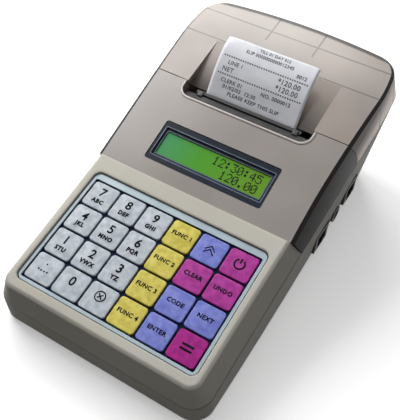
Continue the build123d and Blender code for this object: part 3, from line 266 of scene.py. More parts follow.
# polyester shrink sleeve round the cells: blue and glossy
sleeve = plain("battery_shrink_sleeve", "#2F5D7C", "#3B6C8C", 14, 2.0, 0.02, 0.25)
# thermal paper: coated and bluish white, its fibres drawn at 0.6 mm to show
thermal = plain("thermal_paper", "#E6E8EF", "#F1F2F7", 9, 0.6, 0.008, 0.55)
# what the print head burns into it: grey rather than black
burnt = plain("thermal_print", "#33363D", "#4A4D55", 1.5, 0.4, 0.001, 0.6)
# stainless spring steel of tear bar and pins, rolled: bright, with a fine uneven sheen
steel = plain("stainless_steel_rolled", "#86888B", "#A2A4A7", 6, 0.4, 0.003, 0.3, Metallic=1.0)
# zinc plate on screws: warmer and duller
zinc = plain("zinc_plated_steel", "#94938D", "#AEADA7", 5, 0.5, 0.003, 0.4, Metallic=1.0)
# painted highlight: polycarbonate of the bead round the slot, painted pale where it catches the light
bead_highlight = plain("cover_bead_painted_highlight", "#D9D0CC", "#E6DDD9", 8, 0.5, 0.004, 0.25)
# the ledge inside the slot: phosphated steel, dark grey and dull
dull_steel = plain("phosphated_steel", "#2E2D2D", "#3B3A39", 6, 0.5, 0.004, 0.45, shine=0.25)
# segments of the liquid crystal: green-black, without gloss
crystal = plain("liquid_crystal_dark", "#061606", "#0A1C08", 3, 0.4, 0.001, 0.5, shine=0.1)


def deck_places(tree, place):
    """The deck's own x, y and z in millimetres, as one vector and apart, and the distance from its middle."""
    turned = add(tree, "ShaderNodeMapping", {
        "Vector": place.outputs["Object"], "Rotation": (-DECK_TILT, 0.0, 0.0), "Scale": (1 / MM,) * 3,
        "Location": (0.0, -DECK_ORIGIN_Y, -DECK_ORIGIN_Z),
    }).outputs["Vector"]
    axes = add(tree, "ShaderNodeSeparateXYZ", {"Vector": turned}).outputs
    across = add(tree, "ShaderNodeMath", {0: axes["X"]}, operation="ABSOLUTE")
    return turned, axes, across.outputs[0]


def shell_masks(tree, place, axes, across):
    """Where a place lies on a smoked shell, as masks from 0 to 1: further out than the chute, on the outer
    sides, on those or on the brim along the rear, and on a rounded edge, which still looks a little up."""
    flank = add(tree, "ShaderNodeMapRange", {
        "Value": across, "From Min": CHUTE_HALF, "From Max": SHELL_HALF,
    })
    # how far back a place is, square to the bowed rear edge: y + bow (x / half)^2
    share = add(tree, "ShaderNodeMath", {0: axes["X"], 1: 1 / REAR_HALF}, operation="MULTIPLY")
    square = add(tree, "ShaderNodeMath", {0: share.outputs[0], 1: 2.0}, operation="POWER")
    astern = add(tree, "ShaderNodeMath", {
        0: square.outputs[0], 1: REAR_BOW, 2: axes["Y"],
    }, operation="MULTIPLY_ADD")
    stern = add(tree, "ShaderNodeMapRange", {
        "Value": astern.outputs[0], "From Min": BRIM_FROM, "From Max": STERN_TO,
    })
    outside = add(tree, "ShaderNodeMath", {
        0: flank.outputs["Result"], 1: stern.outputs["Result"],
    }, operation="MAXIMUM")
    # how far a face looks out of the deck: 1 on the roof, 0 on the sides
    facing = add(tree, "ShaderNodeVectorMath", {
        0: place.outputs["Normal"], 1: (0.0, -sin(DECK_TILT), cos(DECK_TILT)),
    }, operation="DOT_PRODUCT").outputs["Value"]
    aside = add(tree, "ShaderNodeMapRange", {
        "Value": facing, "From Min": 0.93, "From Max": 0.97, "To Min": 1.0, "To Max": 0.0,
    })
    sides = add(tree, "ShaderNodeMath", {
        0: aside.outputs["Result"], 1: outside.outputs[0],
    }, operation="MULTIPLY")
    # the brim along the rear edge takes the painted side shading, up to 0.85
    brim = add(tree, "ShaderNodeMapRange", {
        "Value": astern.outputs[0], "From Min": BRIM_FROM, "From Max": BRIM_TO, "To Max": 0.85,
    })
    rim = add(tree, "ShaderNodeMath", {0: sides.outputs[0], 1: brim.outputs["Result"]}, operation="MAXIMUM")
    edge = add(tree, "ShaderNodeMapRange", {"Value": facing, "From Min": 0.45, "From Max": 0.55})
    return [mask.outputs[0] for mask in (flank, sides, rim, edge)]


def painted_side_shading(tree, turned, axes, tones):
    """Painted shading of the sides, from their foot to the roof: painted reflection streaks that follow the
    deck, and painted shade where the two shells meet, fading towards the rear."""
    layers = add(tree, "ShaderNodeMapping", {"Vector": turned, "Scale": (0.02, 0.012, 0.8)})
    streak = add(tree, "ShaderNodeTexNoise", {
        "Vector": layers.outputs["Vector"], "Scale": 1.0, "Detail": 2.0,
    })
    height = add(tree, "ShaderNodeMapRange", {
        "Value": axes["Z"], "From Min": SIDE_FOOT, "From Max": SIDE_HEAD, "To Min": -0.2, "To Max": 0.8,
    })
    streaks = add(tree, "ShaderNodeMath", {
        0: streak.outputs["Fac"], 1: 0.4, 2: height.outputs["Result"],
    }, operation="MULTIPLY_ADD")
    ahead = add(tree, "ShaderNodeMapRange", {
        "Value": axes["Y"], "From Min": SEAM_Y, "From Max": SEAM_SHADE_END, "To Min": 0.45, "To Max": 0.0,
    })
    level = add(tree, "ShaderNodeMath", {0: streaks.outputs[0], 1: ahead.outputs["Result"]}, operation="ADD")
    stops = list(zip((0.0, 0.45, 0.75, 1.0), tones))
    return add(tree, "ShaderNodeValToRGB", {"Fac": level.outputs[0]}, stops).outputs["Color"]


def chute_and_ribs(tree, axes, across, flank, colour):
    """Painted shade down a shell's chute and into the slot, and a darker line along each rib behind it."""
    # painted shade, deepest low in the chute
    deep = add(tree, "ShaderNodeMapRange", {
        "Value": axes["Z"], "From Min": CHUTE_DARK, "From Max": CHUTE_CLEAR, "To Min": 0.9, "To Max": 0.0,
    })
    inner = add(tree, "ShaderNodeMath", {0: 1.0, 1: flank}, operation="SUBTRACT")
    sunk = add(tree, "ShaderNodeMath", {
        0: deep.outputs["Result"], 1: inner.outputs[0],
    }, operation="MULTIPLY")
    shade = add(tree, "ShaderNodeMix", {
        "Factor": sunk.outputs[0], "A": colour, "B": linear("#3A2C24"),
    }, data_type="RGBA")
    behind = add(tree, "ShaderNodeMath", {0: axes["Y"], 1: LONG_RIB_FRONT}, operation="GREATER_THAN")
    lines = 0.0
    for along, middle, shown in (
        (axes["Y"], CROSS_RIBS[0], 1.0),
        (axes["Y"], CROSS_RIBS[1], 1.0),
        (across, LONG_RIB_X, behind.outputs[0]),
    ):
        apart = add(tree, "ShaderNodeMath", {0: along, 1: middle}, operation="SUBTRACT")
        reach = add(tree, "ShaderNodeMath", {0: apart.outputs[0]}, operation="ABSOLUTE")
        line = add(tree, "ShaderNodeMapRange", {
            "Value": reach.outputs[0], "From Min": RIB_WHOLE, "From Max": RIB_GONE, "To Min": 0.8,
            "To Max": 0.0,
        })
        part = add(tree, "ShaderNodeMath", {0: line.outputs["Result"], 1: shown}, operation="MULTIPLY")
        lines = add(tree, "ShaderNodeMath", {0: lines, 1: part.outputs[0]}, operation="MAXIMUM").outputs[0]
    return add(tree, "ShaderNodeMix", {
        "Factor": lines, "A": shade.outputs["Result"], "B": linear("#3A302B"),
    }, data_type="RGBA").outputs["Result"]


def smoked_polycarbonate(name, top_low, top_high, side, painted_glow, ribbed):
    """Smoked polycarbonate, satin and a little see-through. Outside, where it turns away at an edge, a
    painted dark line stands for the wall seen edge on, and its sides and rear brim get painted shading from
    the given side tones, with painted reflection streaks. Its sides glow as painted light, as strongly as the
    glow given.
    Where ribbed, it gets painted shade down its chute, and ribs behind it show as thin darker lines."""
    material, tree, place = blank(name)
    turned, axes, across = deck_places(tree, place)
    flank, sides, rim, edge = shell_masks(tree, place, axes, across)
    drift = add(tree, "ShaderNodeTexNoise", {
        "Vector": place.outputs["Object"], "Scale": 1 / (42 * MM), "Detail": 1.0,
    })
    tone = add(tree, "ShaderNodeValToRGB", {"Fac": drift.outputs["Fac"]}, [(0.3, top_low), (0.7, top_high)])
    painted_side_colour = painted_side_shading(tree, turned, axes, side)
    # painted dark line where the surface turns away at an edge
    painted_dark_edge = add(tree, "ShaderNodeMix", {
        "Factor": edge, "A": painted_side_colour, "B": linear("#15100E"),
    }, data_type="RGBA")
    # painted shading over the sides and the rear brim
    skin = add(tree, "ShaderNodeMix", {
        "Factor": rim, "A": tone.outputs["Color"], "B": painted_dark_edge.outputs["Result"],
    }, data_type="RGBA")
    colour = skin.outputs["Result"]
    if ribbed:
        colour = chute_and_ribs(tree, axes, across, flank, colour)
    # painted light: the sides glow, as strongly as the glow given
    off_edge = add(tree, "ShaderNodeMath", {0: 1.0, 1: edge}, operation="SUBTRACT")
    side_only = add(tree, "ShaderNodeMath", {0: sides, 1: off_edge.outputs[0]}, operation="MULTIPLY")
    painted_glow_strength = add(tree, "ShaderNodeMath", {0: side_only.outputs[0], 1: painted_glow}, operation="MULTIPLY")
    # the sides and the rear brim are duller than the roof
    gloss = add(tree, "ShaderNodeMapRange", {"Value": rim, "To Min": 0.5, "To Max": 0.02})
    grit = add(tree, "ShaderNodeTexNoise", {
        "Vector": place.outputs["Object"], "Scale": 1 / (1.2 * MM), "Detail": 2.0,
    })
    matt = add(tree, "ShaderNodeMapRange", {"Value": grit.outputs["Fac"], "To Min": 0.27, "To Max": 0.33})
    raised = add(tree, "ShaderNodeBump", {"Height": grit.outputs["Fac"], "Distance": 0.004 * MM})
    shader = add(tree, "ShaderNodeBsdfPrincipled", {
        "Base Color": colour, "Roughness": matt.outputs["Result"], "Normal": raised.outputs["Normal"],
        "IOR": 1.58, "Transmission Weight": 0.22, "Specular IOR Level": gloss.outputs["Result"],
        "Emission Color": painted_side_colour, "Emission Strength": painted_glow_strength.outputs[0],
    })
    add(tree, "ShaderNodeOutputMaterial", {"Surface": shader.outputs[0]})
    return material


# the cover's sides get dark painted shading, the lid's sides pale painted shading and a painted glow
cover_smoke = smoked_polycarbonate("cover_smoked_polycarbonate", "#958C86", "#A39A94", [
    "#4A3F38", "#2C2420", "#181310", "#0C0A09",
], painted_glow=0.0, ribbed=False)
lid_smoke = smoked_polycarbonate("lid_smoked_polycarbonate", "#978B83", "#AFA297", [
    "#FFF4EC", "#DDD1C8", "#9C9089", "#4A3F3A",
], painted_glow=0.16, ribbed=True)


def backlit_film():
    """Polarising film of the display, lit from its left end, so its green turns yellower to the right."""
    material, tree, place = blank("display_backlit_film")
    axes = add(tree, "ShaderNodeSeparateXYZ", {"Vector": place.outputs["Object"]})
    across = add(tree, "ShaderNodeMapRange", {
        "Value": axes.outputs["X"], "From Min": -32 * MM, "From Max": 32 * MM,
    })
    cell = add(tree, "ShaderNodeTexNoise", {"Vector": place.outputs["Object"], "Scale": 1 / (9 * MM)})
    uneven = add(tree, "ShaderNodeMath", {
        0: cell.outputs["Fac"], 1: 0.12, 2: across.outputs["Result"],
    }, operation="MULTIPLY_ADD")
    matt = add(tree, "ShaderNodeMapRange", {"Value": cell.outputs["Fac"], "To Min": 0.18, "To Max": 0.26})
    green = add(tree, "ShaderNodeValToRGB", {"Fac": uneven.outputs[0]}, [
        (0.05, "#3A8A54"), (0.45, "#45901F"), (0.95, "#5C8C10"),
    ])
    shader = add(tree, "ShaderNodeBsdfPrincipled", {
        "Base Color": green.outputs["Color"], "Roughness": matt.outputs["Result"],
        "Emission Color": green.outputs["Color"], "Emission Strength": 0.14, "Specular IOR Level": 0.2,
    })
    add(tree, "ShaderNodeOutputMaterial", {"Surface": shader.outputs[0]})
    return material


def wound_paper():
    """Paper roll: its ends show the turns as fine rings about the axis, drawn at 0.9 mm so that they show."""
    material, tree, place = blank("thermal_paper_wound")
    moved = add(tree, "ShaderNodeMapping", {
        "Vector": place.outputs["Object"], "Location": (0.0, -ROLL_AXIS[0] * MM, -ROLL_AXIS[1] * MM),
    })
    flat = add(tree, "ShaderNodeVectorMath", {
        0: moved.outputs["Vector"], 1: (0.0, 1.0, 1.0),
    }, operation="MULTIPLY")
    radius = add(tree, "ShaderNodeVectorMath", {0: flat.outputs["Vector"]}, operation="LENGTH")
    turns = add(tree, "ShaderNodeMath", {
        0: radius.outputs["Value"], 1: 2 * pi / (0.9 * MM),
    }, operation="MULTIPLY")
    wave = add(tree, "ShaderNodeMath", {0: turns.outputs[0]}, operation="SINE")
    tone = add(tree, "ShaderNodeMapRange", {"Value": wave.outputs[0], "From Min": -1.0, "From Max": 1.0})
    colour = add(tree, "ShaderNodeValToRGB", {"Fac": tone.outputs["Result"]}, [
        (0.2, "#D9DAE0"), (0.8, "#F1F2F7"),
    ])
    raised = add(tree, "ShaderNodeBump", {"Height": tone.outputs["Result"], "Distance": 0.02 * MM})
    shader = add(tree, "ShaderNodeBsdfPrincipled", {
        "Base Color": colour.outputs["Color"], "Roughness": 0.6, "Normal": raised.outputs["Normal"],
    })
    add(tree, "ShaderNodeOutputMaterial", {"Surface": shader.outputs[0]})
    return material


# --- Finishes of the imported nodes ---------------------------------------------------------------
FINISHES = [
    (["lower_housing", "upper_housing"], housing_abs),
    (["display_cover"], cover_smoke),
    (["paper_lid"], lid_smoke),
    (["key_grid"], navy_print),
    (["keypad_panel"], pale_print),
    (["key_mat", "feet", "platen_roller"], rubber),
    (["keypad_board", "display_board", "main_board"], epoxy),
    (["display_bezel"], frame_abs),
    (["display_glass"], backlit_film()),
    (["printer_frame", "paper_bucket", "print_head", "battery_holder"], carrier_abs),
    (["socket_front", "socket_back", "dc_jack", "roll_spindle"], nylon),
    (["battery_pack"], sleeve),
    (["platen_gear", "idler_gear", "motor_pinion"], acetal),
    (["tear_bar", "motor_shaft", "hinge_pins", "print_motor"], steel),
    (["housing_screws"], zinc),
    (["paper_web"], thermal),
    (["paper_roll"], wound_paper()),
    (["roll_core"], cardboard),
]
for names, finish in FINISHES:
    for name in names:
        slots = frame["nodes"][name].data.materials
        slots.clear()
        slots.append(finish)


# --- Mesh building ------------------------------------------------------------------------------
def piece(name, points, faces, material, body, smooth=True):
    """Makes one piece from points in metres and its faces, and hangs it on a body."""
    mesh = bpy.data.meshes.new(name)
    mesh.from_pydata(np.asarray(points).tolist(), [], [list(map(int, face)) for face in faces])
    mesh.polygons.foreach_set("use_smooth", np.full(len(mesh.polygons), smooth))
    mesh.materials.append(material)
    mesh.update()
    made = bpy.data.objects.new(name, mesh)
    bpy.context.scene.collection.objects.link(made)
    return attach(made, body)


def thicken(sheet, wall, side):
    """Gives a sheet its wall: behind its faces for side -1, and half to each side for 0."""
    solid = sheet.modifiers.new("thickness", "SOLIDIFY")
    solid.thickness, solid.offset = wall * MM, side


def grid_faces(rows, columns, closed=False):
    """Quads of a grid of points counted row by row; closed joins the last column to the first."""
    i, j = np.meshgrid(np.arange(rows - 1), np.arange(columns if closed else columns - 1), indexing="ij")
    k = (j + 1) % columns
    here, above = i * columns, (i + 1) * columns
    return np.stack([here + j, here + k, above + k, above + j], -1).reshape(-1, 4)


def joined(parts):
    """Several (points, faces) as one, each part's faces counted on from the last."""
    starts = np.cumsum([0] + [len(points) for points, faces in parts])
    points = np.concatenate([points for points, faces in parts])
    faces = [tuple(v + start for v in face) for start, (_, own) in zip(starts, parts) for face in own]
    return points, faces


def rounded_rectangle(half_x, half_y, radius, per_corner=6):
    """Points round a rectangle with quarter-circle corners, against the clock."""
    angle = np.linspace(0, pi / 2, per_corner) + np.arange(4)[:, None] * pi / 2
    sign_x, sign_y = np.array([1, -1, -1, 1]), np.array([1, 1, -1, -1])
    x = sign_x[:, None] * (half_x - radius) + radius * np.cos(angle)
    y = sign_y[:, None] * (half_y - radius) + radius * np.sin(angle)
    return np.stack([x.ravel(), y.ravel()], -1)


def at_height(flat, z):
    """Flat points (x, y) as points (x, y, z), with one z or one for each."""
    return np.column_stack([flat, np.broadcast_to(z, len(flat))])


def stacked(rings):
    """Closed skin over rings of as many points each, from the lowest ring's cap to the highest's."""
    count = len(rings[0])
    faces = [*grid_faces(len(rings), count, closed=True), range(count)[::-1]]
    faces.append(range((len(rings) - 1) * count, len(rings) * count))
    return np.concatenate(rings), faces


# --- Keys ---------------------------------------------------------------------------------------
KEY_HALF_X, KEY_HALF_Y = (PITCH_X - KEY_GAP) / 2, (PITCH_Y - KEY_GAP) / 2


def key_top(x, y):
    """Height of a key's top: its edge and a pillow h (1 - u^2)(1 - v^2), u and v the shares of the way from
    the centre to the sides."""
    u = np.minimum(np.abs(x) / (KEY_HALF_X + KEY_SPREAD - KEY_ROUND), 1)
    v = np.minimum(np.abs(y) / (KEY_HALF_Y + KEY_SPREAD - KEY_ROUND), 1)
    return KEY_EDGE_Z + KEY_PILLOW * (1 - u**2) * (1 - v**2)


def key_cap(centre):
    """A key: rings of a rounded rectangle up its flange and wall, out to its head, round a quarter circle at
    the edge, and then shrunk to the middle over the pillow."""
    turn = np.linspace(0, pi / 2, 5)
    outline = [
        (-KEY_FLANGE, KEY_BOTTOM), (-KEY_FLANGE, WEB_BOTTOM), (0, WEB_BOTTOM), (0, SPREAD_FROM),
        (-KEY_SPREAD, SPREAD_TO),
        *zip(KEY_ROUND * (1 - np.cos(turn)) - KEY_SPREAD, KEY_EDGE_Z - KEY_ROUND * (1 - np.sin(turn))),
    ]
    rings = [
        at_height(rounded_rectangle(KEY_HALF_X - inset, KEY_HALF_Y - inset, max(KEY_CORNER - inset, 0.3)), z)
        for inset, z in outline
    ]
    edge = rings[-1][:, :2]
    rings += [at_height(edge * share, key_top(*(edge * share).T)) for share in PILLOW_RINGS]
    points, faces = stacked(rings)
    return deck(points + (*centre, 0)), faces


# a capital's height over the size of the built-in letters
CAPITAL = 0.69


def lettering(text, height, bold=0.0, spacing=1.0):
    """Flat letters, capitals height mm tall, centred on their own middle: points (x, y) and faces."""
    curve = bpy.data.curves.new("lettering", "FONT")
    curve.body, curve.size, curve.offset = text, height / CAPITAL, bold
    curve.space_character, curve.resolution_u = spacing, 3
    holder = bpy.data.objects.new("lettering", curve)
    bpy.context.scene.collection.objects.link(holder)
    bpy.context.view_layer.update()
    mesh = bpy.data.meshes.new_from_object(holder.evaluated_get(bpy.context.evaluated_depsgraph_get()))
    points = np.zeros(3 * len(mesh.vertices))
    mesh.vertices.foreach_get("co", points)
    points = points.reshape(-1, 3)[:, :2]
    flip = sum(face.normal.z for face in mesh.polygons) < 0
    faces = [tuple(face.vertices)[::-1] if flip else tuple(face.vertices) for face in mesh.polygons]
    for made, kept in ((holder, bpy.data.objects), (curve, bpy.data.curves), (mesh, bpy.data.meshes)):
        kept.remove(made)
    return points - (points.min(0) + points.max(0)) / 2, faces


def stroke(line, width, closed=False):
    """Flat band along a line: each point goes half the width to both sides, square to its mean direction."""
    line = np.asarray(line, float)
    before, after = np.roll(line, 1, 0), np.roll(line, -1, 0)
    if not closed:
        before[0], after[-1] = 2 * line[0] - line[1], 2 * line[-1] - line[-2]
    into, out = line - before, after - line
    into /= np.linalg.norm(into, axis=1)[:, None]
    out /= np.linalg.norm(out, axis=1)[:, None]
    mean = into + out
    mean /= np.linalg.norm(mean, axis=1)[:, None]
    reach = width / 2 / np.maximum((mean * out).sum(1), 0.4)
    square = np.stack([-mean[:, 1], mean[:, 0]], -1) * reach[:, None]
    return np.concatenate([line - square, line + square]), grid_faces(2, len(line), closed)


def circle(radius, start=0.0, turn=2 * pi, count=28):
    """Points on a circle about the origin from one angle on."""
    angle = start + np.linspace(0, turn, count, endpoint=turn < 2 * pi)
    return radius * np.stack([np.cos(angle), np.sin(angle)], -1)


def shifted(part, x, y):
    """A flat part moved in its plane."""
    return part[0] + (x, y), part[1]


LETTERS = {7: "ABC", 8: "DEF", 9: "GHI", 4: "JKL", 5: "MNO", 6: "PQR", 1: "STU", 2: "VWX", 3: "YZ"}
FUNCTION_SIGNS = {
    "key_yellow_1": "FUNC 1", "key_yellow_2": "FUNC 2", "key_yellow_3": "FUNC 3", "key_yellow_4": "FUNC 4",
    "key_magenta_1": "CLEAR", "key_magenta_2": "UNDO", "key_blue_1": "CODE", "key_blue_2": "NEXT",
    "key_blue_3": "ENTER",
}
POINT_DOTS = [(-2.6, -1.2), (2.6, -1.2), (0.0, 2.6), (-0.9, -1.4), (0.9, -1.4)]
CHEVRON = np.array([(-2.8, -1.4), (0.0, 1.2), (2.8, -1.4)])
# a bar with points between its ends, so that it follows the pillow
LONG_BAR = np.array([(-3.2, 0.0), (-1.5, 0.0), (0.0, 0.0), (1.5, 0.0), (3.2, 0.0)])
SIGN_RING, CROSS_HALF = 2.7, 1.25


def legend(key):
    """The printed sign of a key, flat, in millimetres about the key's middle."""
    if key in FUNCTION_SIGNS:
        return shifted(lettering(FUNCTION_SIGNS[key], 2.2, bold=0.1, spacing=1.1), 0, 0.5)
    if key == "key_point":
        dot = circle(0.5, count=10)
        return joined([(dot + place, [range(len(dot))]) for place in POINT_DOTS])
    if key == "key_cancel":
        cross = [
            stroke([(-CROSS_HALF, rise), (0.0, 0.0), (CROSS_HALF, -rise)], 0.7)
            for rise in (-CROSS_HALF, CROSS_HALF)
        ]
        return joined([shifted(part, 0, 1.4) for part in (stroke(circle(SIGN_RING), 0.65, True), *cross)])
    if key == "key_feed":
        return joined([stroke(CHEVRON + (0, y), 0.65) for y in (1.3, -0.7)])
    if key == "key_power":
        ring = stroke(circle(SIGN_RING, radians(120), radians(300)), 0.85)
        bar = stroke([(0, 0.5), (0, 1.8), (0, 3.3)], 0.85)
        return joined([shifted(part, 0, 0.4) for part in (ring, bar)])
    if key == "key_total":
        return joined([stroke(LONG_BAR + (0, y), 1.1) for y in (1.2, -1.2)])
    digit = key[-1]
    parts = [shifted(lettering(digit, 4.8, bold=0.15), 0, 2.3 if digit != "0" else 1.4)]
    if int(digit) in LETTERS:
        parts.append(shifted(lettering(LETTERS[int(digit)], 2.2, bold=0.19, spacing=1.18), 0, -3.2))
    return joined(parts)


def key_family(name):
    """Colour family of a key, from its name."""
    for family in ("yellow", "blue", "magenta", "total"):
        if family in name:
            return family
    return {"key_feed": "blue", "key_power": "magenta"}.get(name, "grey")


for row, keys in enumerate(KEY_ROWS):
    for column, key in enumerate(keys):
        centre = np.array([(column - 2.5) * PITCH_X, (1.5 - row) * PITCH_Y])
        cap = piece(f"cap_of_{key}", *key_cap(centre), key_film[key_family(key)], key)
        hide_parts(key)
        flat, faces = legend(key)
        sign = at_height(flat + centre, key_top(*flat.T) + KEY_INK_LIFT)
        piece(f"sign_of_{key}", deck(sign), faces, ink, key, smooth=False)


def panel_film():
    """Pale film round the key field: a strip between two rounded rectangles in one plane."""
    edges = [
        rounded_rectangle(half_x, half_y, radius) + (0.0, middle)
        for half_x, half_y, radius, middle in (WELL_EDGE, FIELD_EDGE)
    ]
    return deck(at_height(np.concatenate(edges), FILM_TOP)), grid_faces(2, len(edges[0]), closed=True)


thicken(piece("panel_film", *panel_film(), pale_print, "casing", smooth=False), FILM_WALL, -1.0)

# --- Display ------------------------------------------------------------------------------------
# rows of a five by seven dot character, top first, each row's dots as five bits
DOTS = {
    "0": (14, 17, 19, 21, 25, 17, 14), "1": (4, 12, 4, 4, 4, 4, 14), "2": (14, 17, 1, 2, 4, 8, 31),
    "3": (31, 2, 4, 2, 1, 17, 14), "4": (2, 6, 10, 18, 31, 2, 2), "5": (31, 16, 30, 1, 1, 17, 14),
    ":": (0, 12, 12, 0, 12, 12, 0), ".": (0, 0, 0, 0, 0, 12, 12), " ": (0,) * 7,
}
LINES = ["  12:30:45 ", "    120.00 "]
SQUARE = np.array([(-1, -1), (1, -1), (1, 1), (-1, 1)])


def display_text():
    """Squares of the lit dots: column c and row r of character n stand at n P + c p and -r q from the
    left top corner of its line."""
    places = []
    for line, text in enumerate(LINES):
        for place, character in enumerate(text):
            rows = np.array(DOTS[character])
            lit = np.argwhere((rows[:, None] >> np.arange(4, -1, -1)) & 1)
            x = (place - len(text)) * CHARACTER_PITCH + lit[:, 1] * DOT_PITCH_X
            places.append(np.stack([x, -line * LINE_PITCH - lit[:, 0] * DOT_PITCH_Y], -1))
    middles = np.concatenate(places) + (TEXT_RIGHT, TEXT_TOP)
    corners = (middles[:, None] + DOT_HALF * SQUARE).reshape(-1, 2)
    points = display(at_height(corners, DISPLAY_FLOOR + PRINT_LIFT))
    return points, np.arange(len(corners)).reshape(-1, 4)


def frame_highlight_band(half_x, half_y, height, width):
    """Painted highlight round one step of the display's frame: a band along a rounded rectangle."""
    flat, faces = stroke(rounded_rectangle(half_x, half_y, FRAME_CORNER), width, True)
    return display(at_height(flat, height)), faces


piece("display_characters", *display_text(), crystal, "casing", smooth=False)
for name, measures in FRAME_HIGHLIGHTS.items():
    piece(name, *frame_highlight_band(*measures), painted_frame_highlight, "casing", smooth=False)


# --- Receipt ------------------------------------------------------------------------------------
def arc_through(start, heading, end, count=12):
    """Points of the circle that leaves start along a heading and meets end. The chord makes an angle a
    with the heading, so the arc turns by 2a, and a share t of it is a chord turned to the heading plus t a
    and as long as |chord| sin(t a) / sin(a)."""
    chord = end - start
    length = np.hypot(*chord)
    bend = np.arctan2(heading[0] * chord[1] - heading[1] * chord[0], heading @ chord)
    share = np.linspace(0, 1, count)
    reach = length * (share if abs(bend) < 1e-6 else np.sin(share * bend) / sin(bend))
    way = np.arctan2(heading[1], heading[0]) + share * bend
    points = start + reach[:, None] * np.stack([np.cos(way), np.sin(way)], -1)
    last = np.arctan2(heading[1], heading[0]) + 2 * bend
    return points, np.array([cos(last), sin(last)])


def receipt_curve():
    """Side view of the paper: arcs end to end, each leaving the last without a kink."""
    points, heading = [np.array([RECEIPT_LINE[0]], float)], np.array([0.0, 1.0])
    for start, end in zip(RECEIPT_LINE, RECEIPT_LINE[1:]):
        arc, heading = arc_through(np.array(start, float), heading, np.array(end, float))
        points.append(arc[1:])
    return np.concatenate(points)


PAPER_CURVE = receipt_curve()
PAPER_RUN = np.concatenate([[0], np.cumsum(np.hypot(*np.diff(PAPER_CURVE, axis=0).T))])
PAPER_LENGTH = PAPER_RUN[-1]


def on_paper(x, run, lift):
    """Deck point at a place across and a length along the paper, lifted off it. Its far left corner curls
    back by the square of how far a point is past the line that cuts the corner off."""
    y = np.interp(run, PAPER_RUN, PAPER_CURVE[:, 0])
    z = np.interp(run, PAPER_RUN, PAPER_CURVE[:, 1])
    past = np.maximum((run - PAPER_LENGTH) - (x + RECEIPT_WIDTH / 2) + CURL_REACH, 0)
    ahead = np.interp(run, PAPER_RUN, np.gradient(PAPER_CURVE[:, 0], PAPER_RUN))
    rise = np.interp(run, PAPER_RUN, np.gradient(PAPER_CURVE[:, 1], PAPER_RUN))
    up = lift - CURL_BEND * past**2
    return deck(np.stack([x, y - rise * up, z + ahead * up], -1))


def paper_sheet(rows=49, columns=33):
    """The paper as a grid across and along, run by run."""
    half = RECEIPT_WIDTH / 2
    x, run = np.meshgrid(np.linspace(-half, half, columns), np.linspace(0, PAPER_LENGTH, rows))
    return on_paper(x, run, 0.0).reshape(-1, 3), grid_faces(rows, columns)


# rows of the print from the far end: run from the far end, text, letter height, place across
PRINT_ROWS = [
    (2.3, "TILL 01 DAY 012", 1.7, 2), (5.3, "SLIP 0000000000012345", 1.9, 0), (8.4, "0012", 2.0, 21),
    (14.4, "LINE 1", 2.2, -17.5), (14.2, "*120.00", 2.8, 16),
    (18.4, "NET", 2.5, -20.5), (18.2, "*120.00", 2.8, 16),
    (24.6, "CLERK 01", 2.1, -16), (24.6, "NO. 0000012", 2.1, 12),
    (27.8, "01/02/03  12:30", 2.1, -10), (31.2, "PLEASE KEEP THIS SLIP", 2.1, 0),
]
DOT_ROWS, DOT_ROW_HALF, DOTS_IN_ROW, PRINTED_DOT_HALF = (11.2, 21.4), 25.5, 36, 0.42


def receipt_print():
    """Letters and dotted rows of the print: x across the paper and y the run from its near end."""
    parts = [
        shifted(lettering(text, height, bold=0.07, spacing=1.08), x, PAPER_LENGTH - run)
        for run, text, height, x in PRINT_ROWS
    ]
    across = np.linspace(-DOT_ROW_HALF, DOT_ROW_HALF, DOTS_IN_ROW)
    parts += [
        (PRINTED_DOT_HALF * SQUARE + (x, PAPER_LENGTH - run), [range(4)]) for run in DOT_ROWS for x in across
    ]
    flat, faces = joined(parts)
    return on_paper(*flat.T, RECEIPT_INK_LIFT), faces


receipt = piece("receipt_paper", *paper_sheet(), thermal, "lid")
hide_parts("receipt")
thicken(receipt, RECEIPT_WALL, 0.0)
piece("receipt_print", *receipt_print(), burnt, "lid", smooth=False)


# --- Paper slot ---------------------------------------------------------------------------------
def slot_highlight_line():
    """Painted highlight on the bead round the slot: down its left side, round both front corners and up its
    right side, on the roof arc raised by the bead."""
    turn = np.linspace(pi, 1.5 * pi, 9)
    inner_x, inner_y = SLOT_HALF_X - SLOT_CORNER, SLOT_FRONT + SLOT_CORNER
    left = np.stack([-inner_x + SLOT_REACH * np.cos(turn), inner_y + SLOT_REACH * np.sin(turn)], -1)
    across = np.linspace(-inner_x, inner_x, 12)[1:-1]
    along = np.column_stack([across, np.full_like(across, inner_y - SLOT_REACH)])
    start, end = (left[0, 0], SLOT_LINE_END), (-left[0, 0], SLOT_LINE_END)
    flat, faces = stroke(np.concatenate([[start], left, along, left[::-1] * (-1, 1), [end]]), SLOT_LINE_WIDTH)
    return deck(at_height(flat, roof_z(flat[:, 1]) + BEAD + PRINT_LIFT)), faces


def folded(line, half_x):
    """A side view carried straight across from -half_x to half_x."""
    line = np.asarray(line, float)
    x = np.array([-half_x, half_x])
    points = np.stack(np.broadcast_arrays(x[None, :], line[:, :1], line[:, 1:]), -1)
    return deck(points.reshape(-1, 3)), grid_faces(len(line), 2)[:, ::-1]


def blade():
    """The black blade: its side view carried across, with both ends and its foot closed."""
    points, faces = folded(BLADE_LINE, BLADE_HALF_X)
    count = len(points)
    return points, [*faces, range(0, count, 2), range(1, count, 2)[::-1], (0, 1, count - 1, count - 2)]


def clip(x):
    """A clip over the blade's end: rings of a rounded rectangle that draw in over its top."""
    points, faces = stacked([
        at_height(rounded_rectangle(CLIP_HALF_X - inset, CLIP_HALF_Y - inset, CLIP_CORNER - inset), z)
        for inset, z in CLIP_RINGS
    ])
    return deck(points + (x, CLIP_Y, 0)), faces


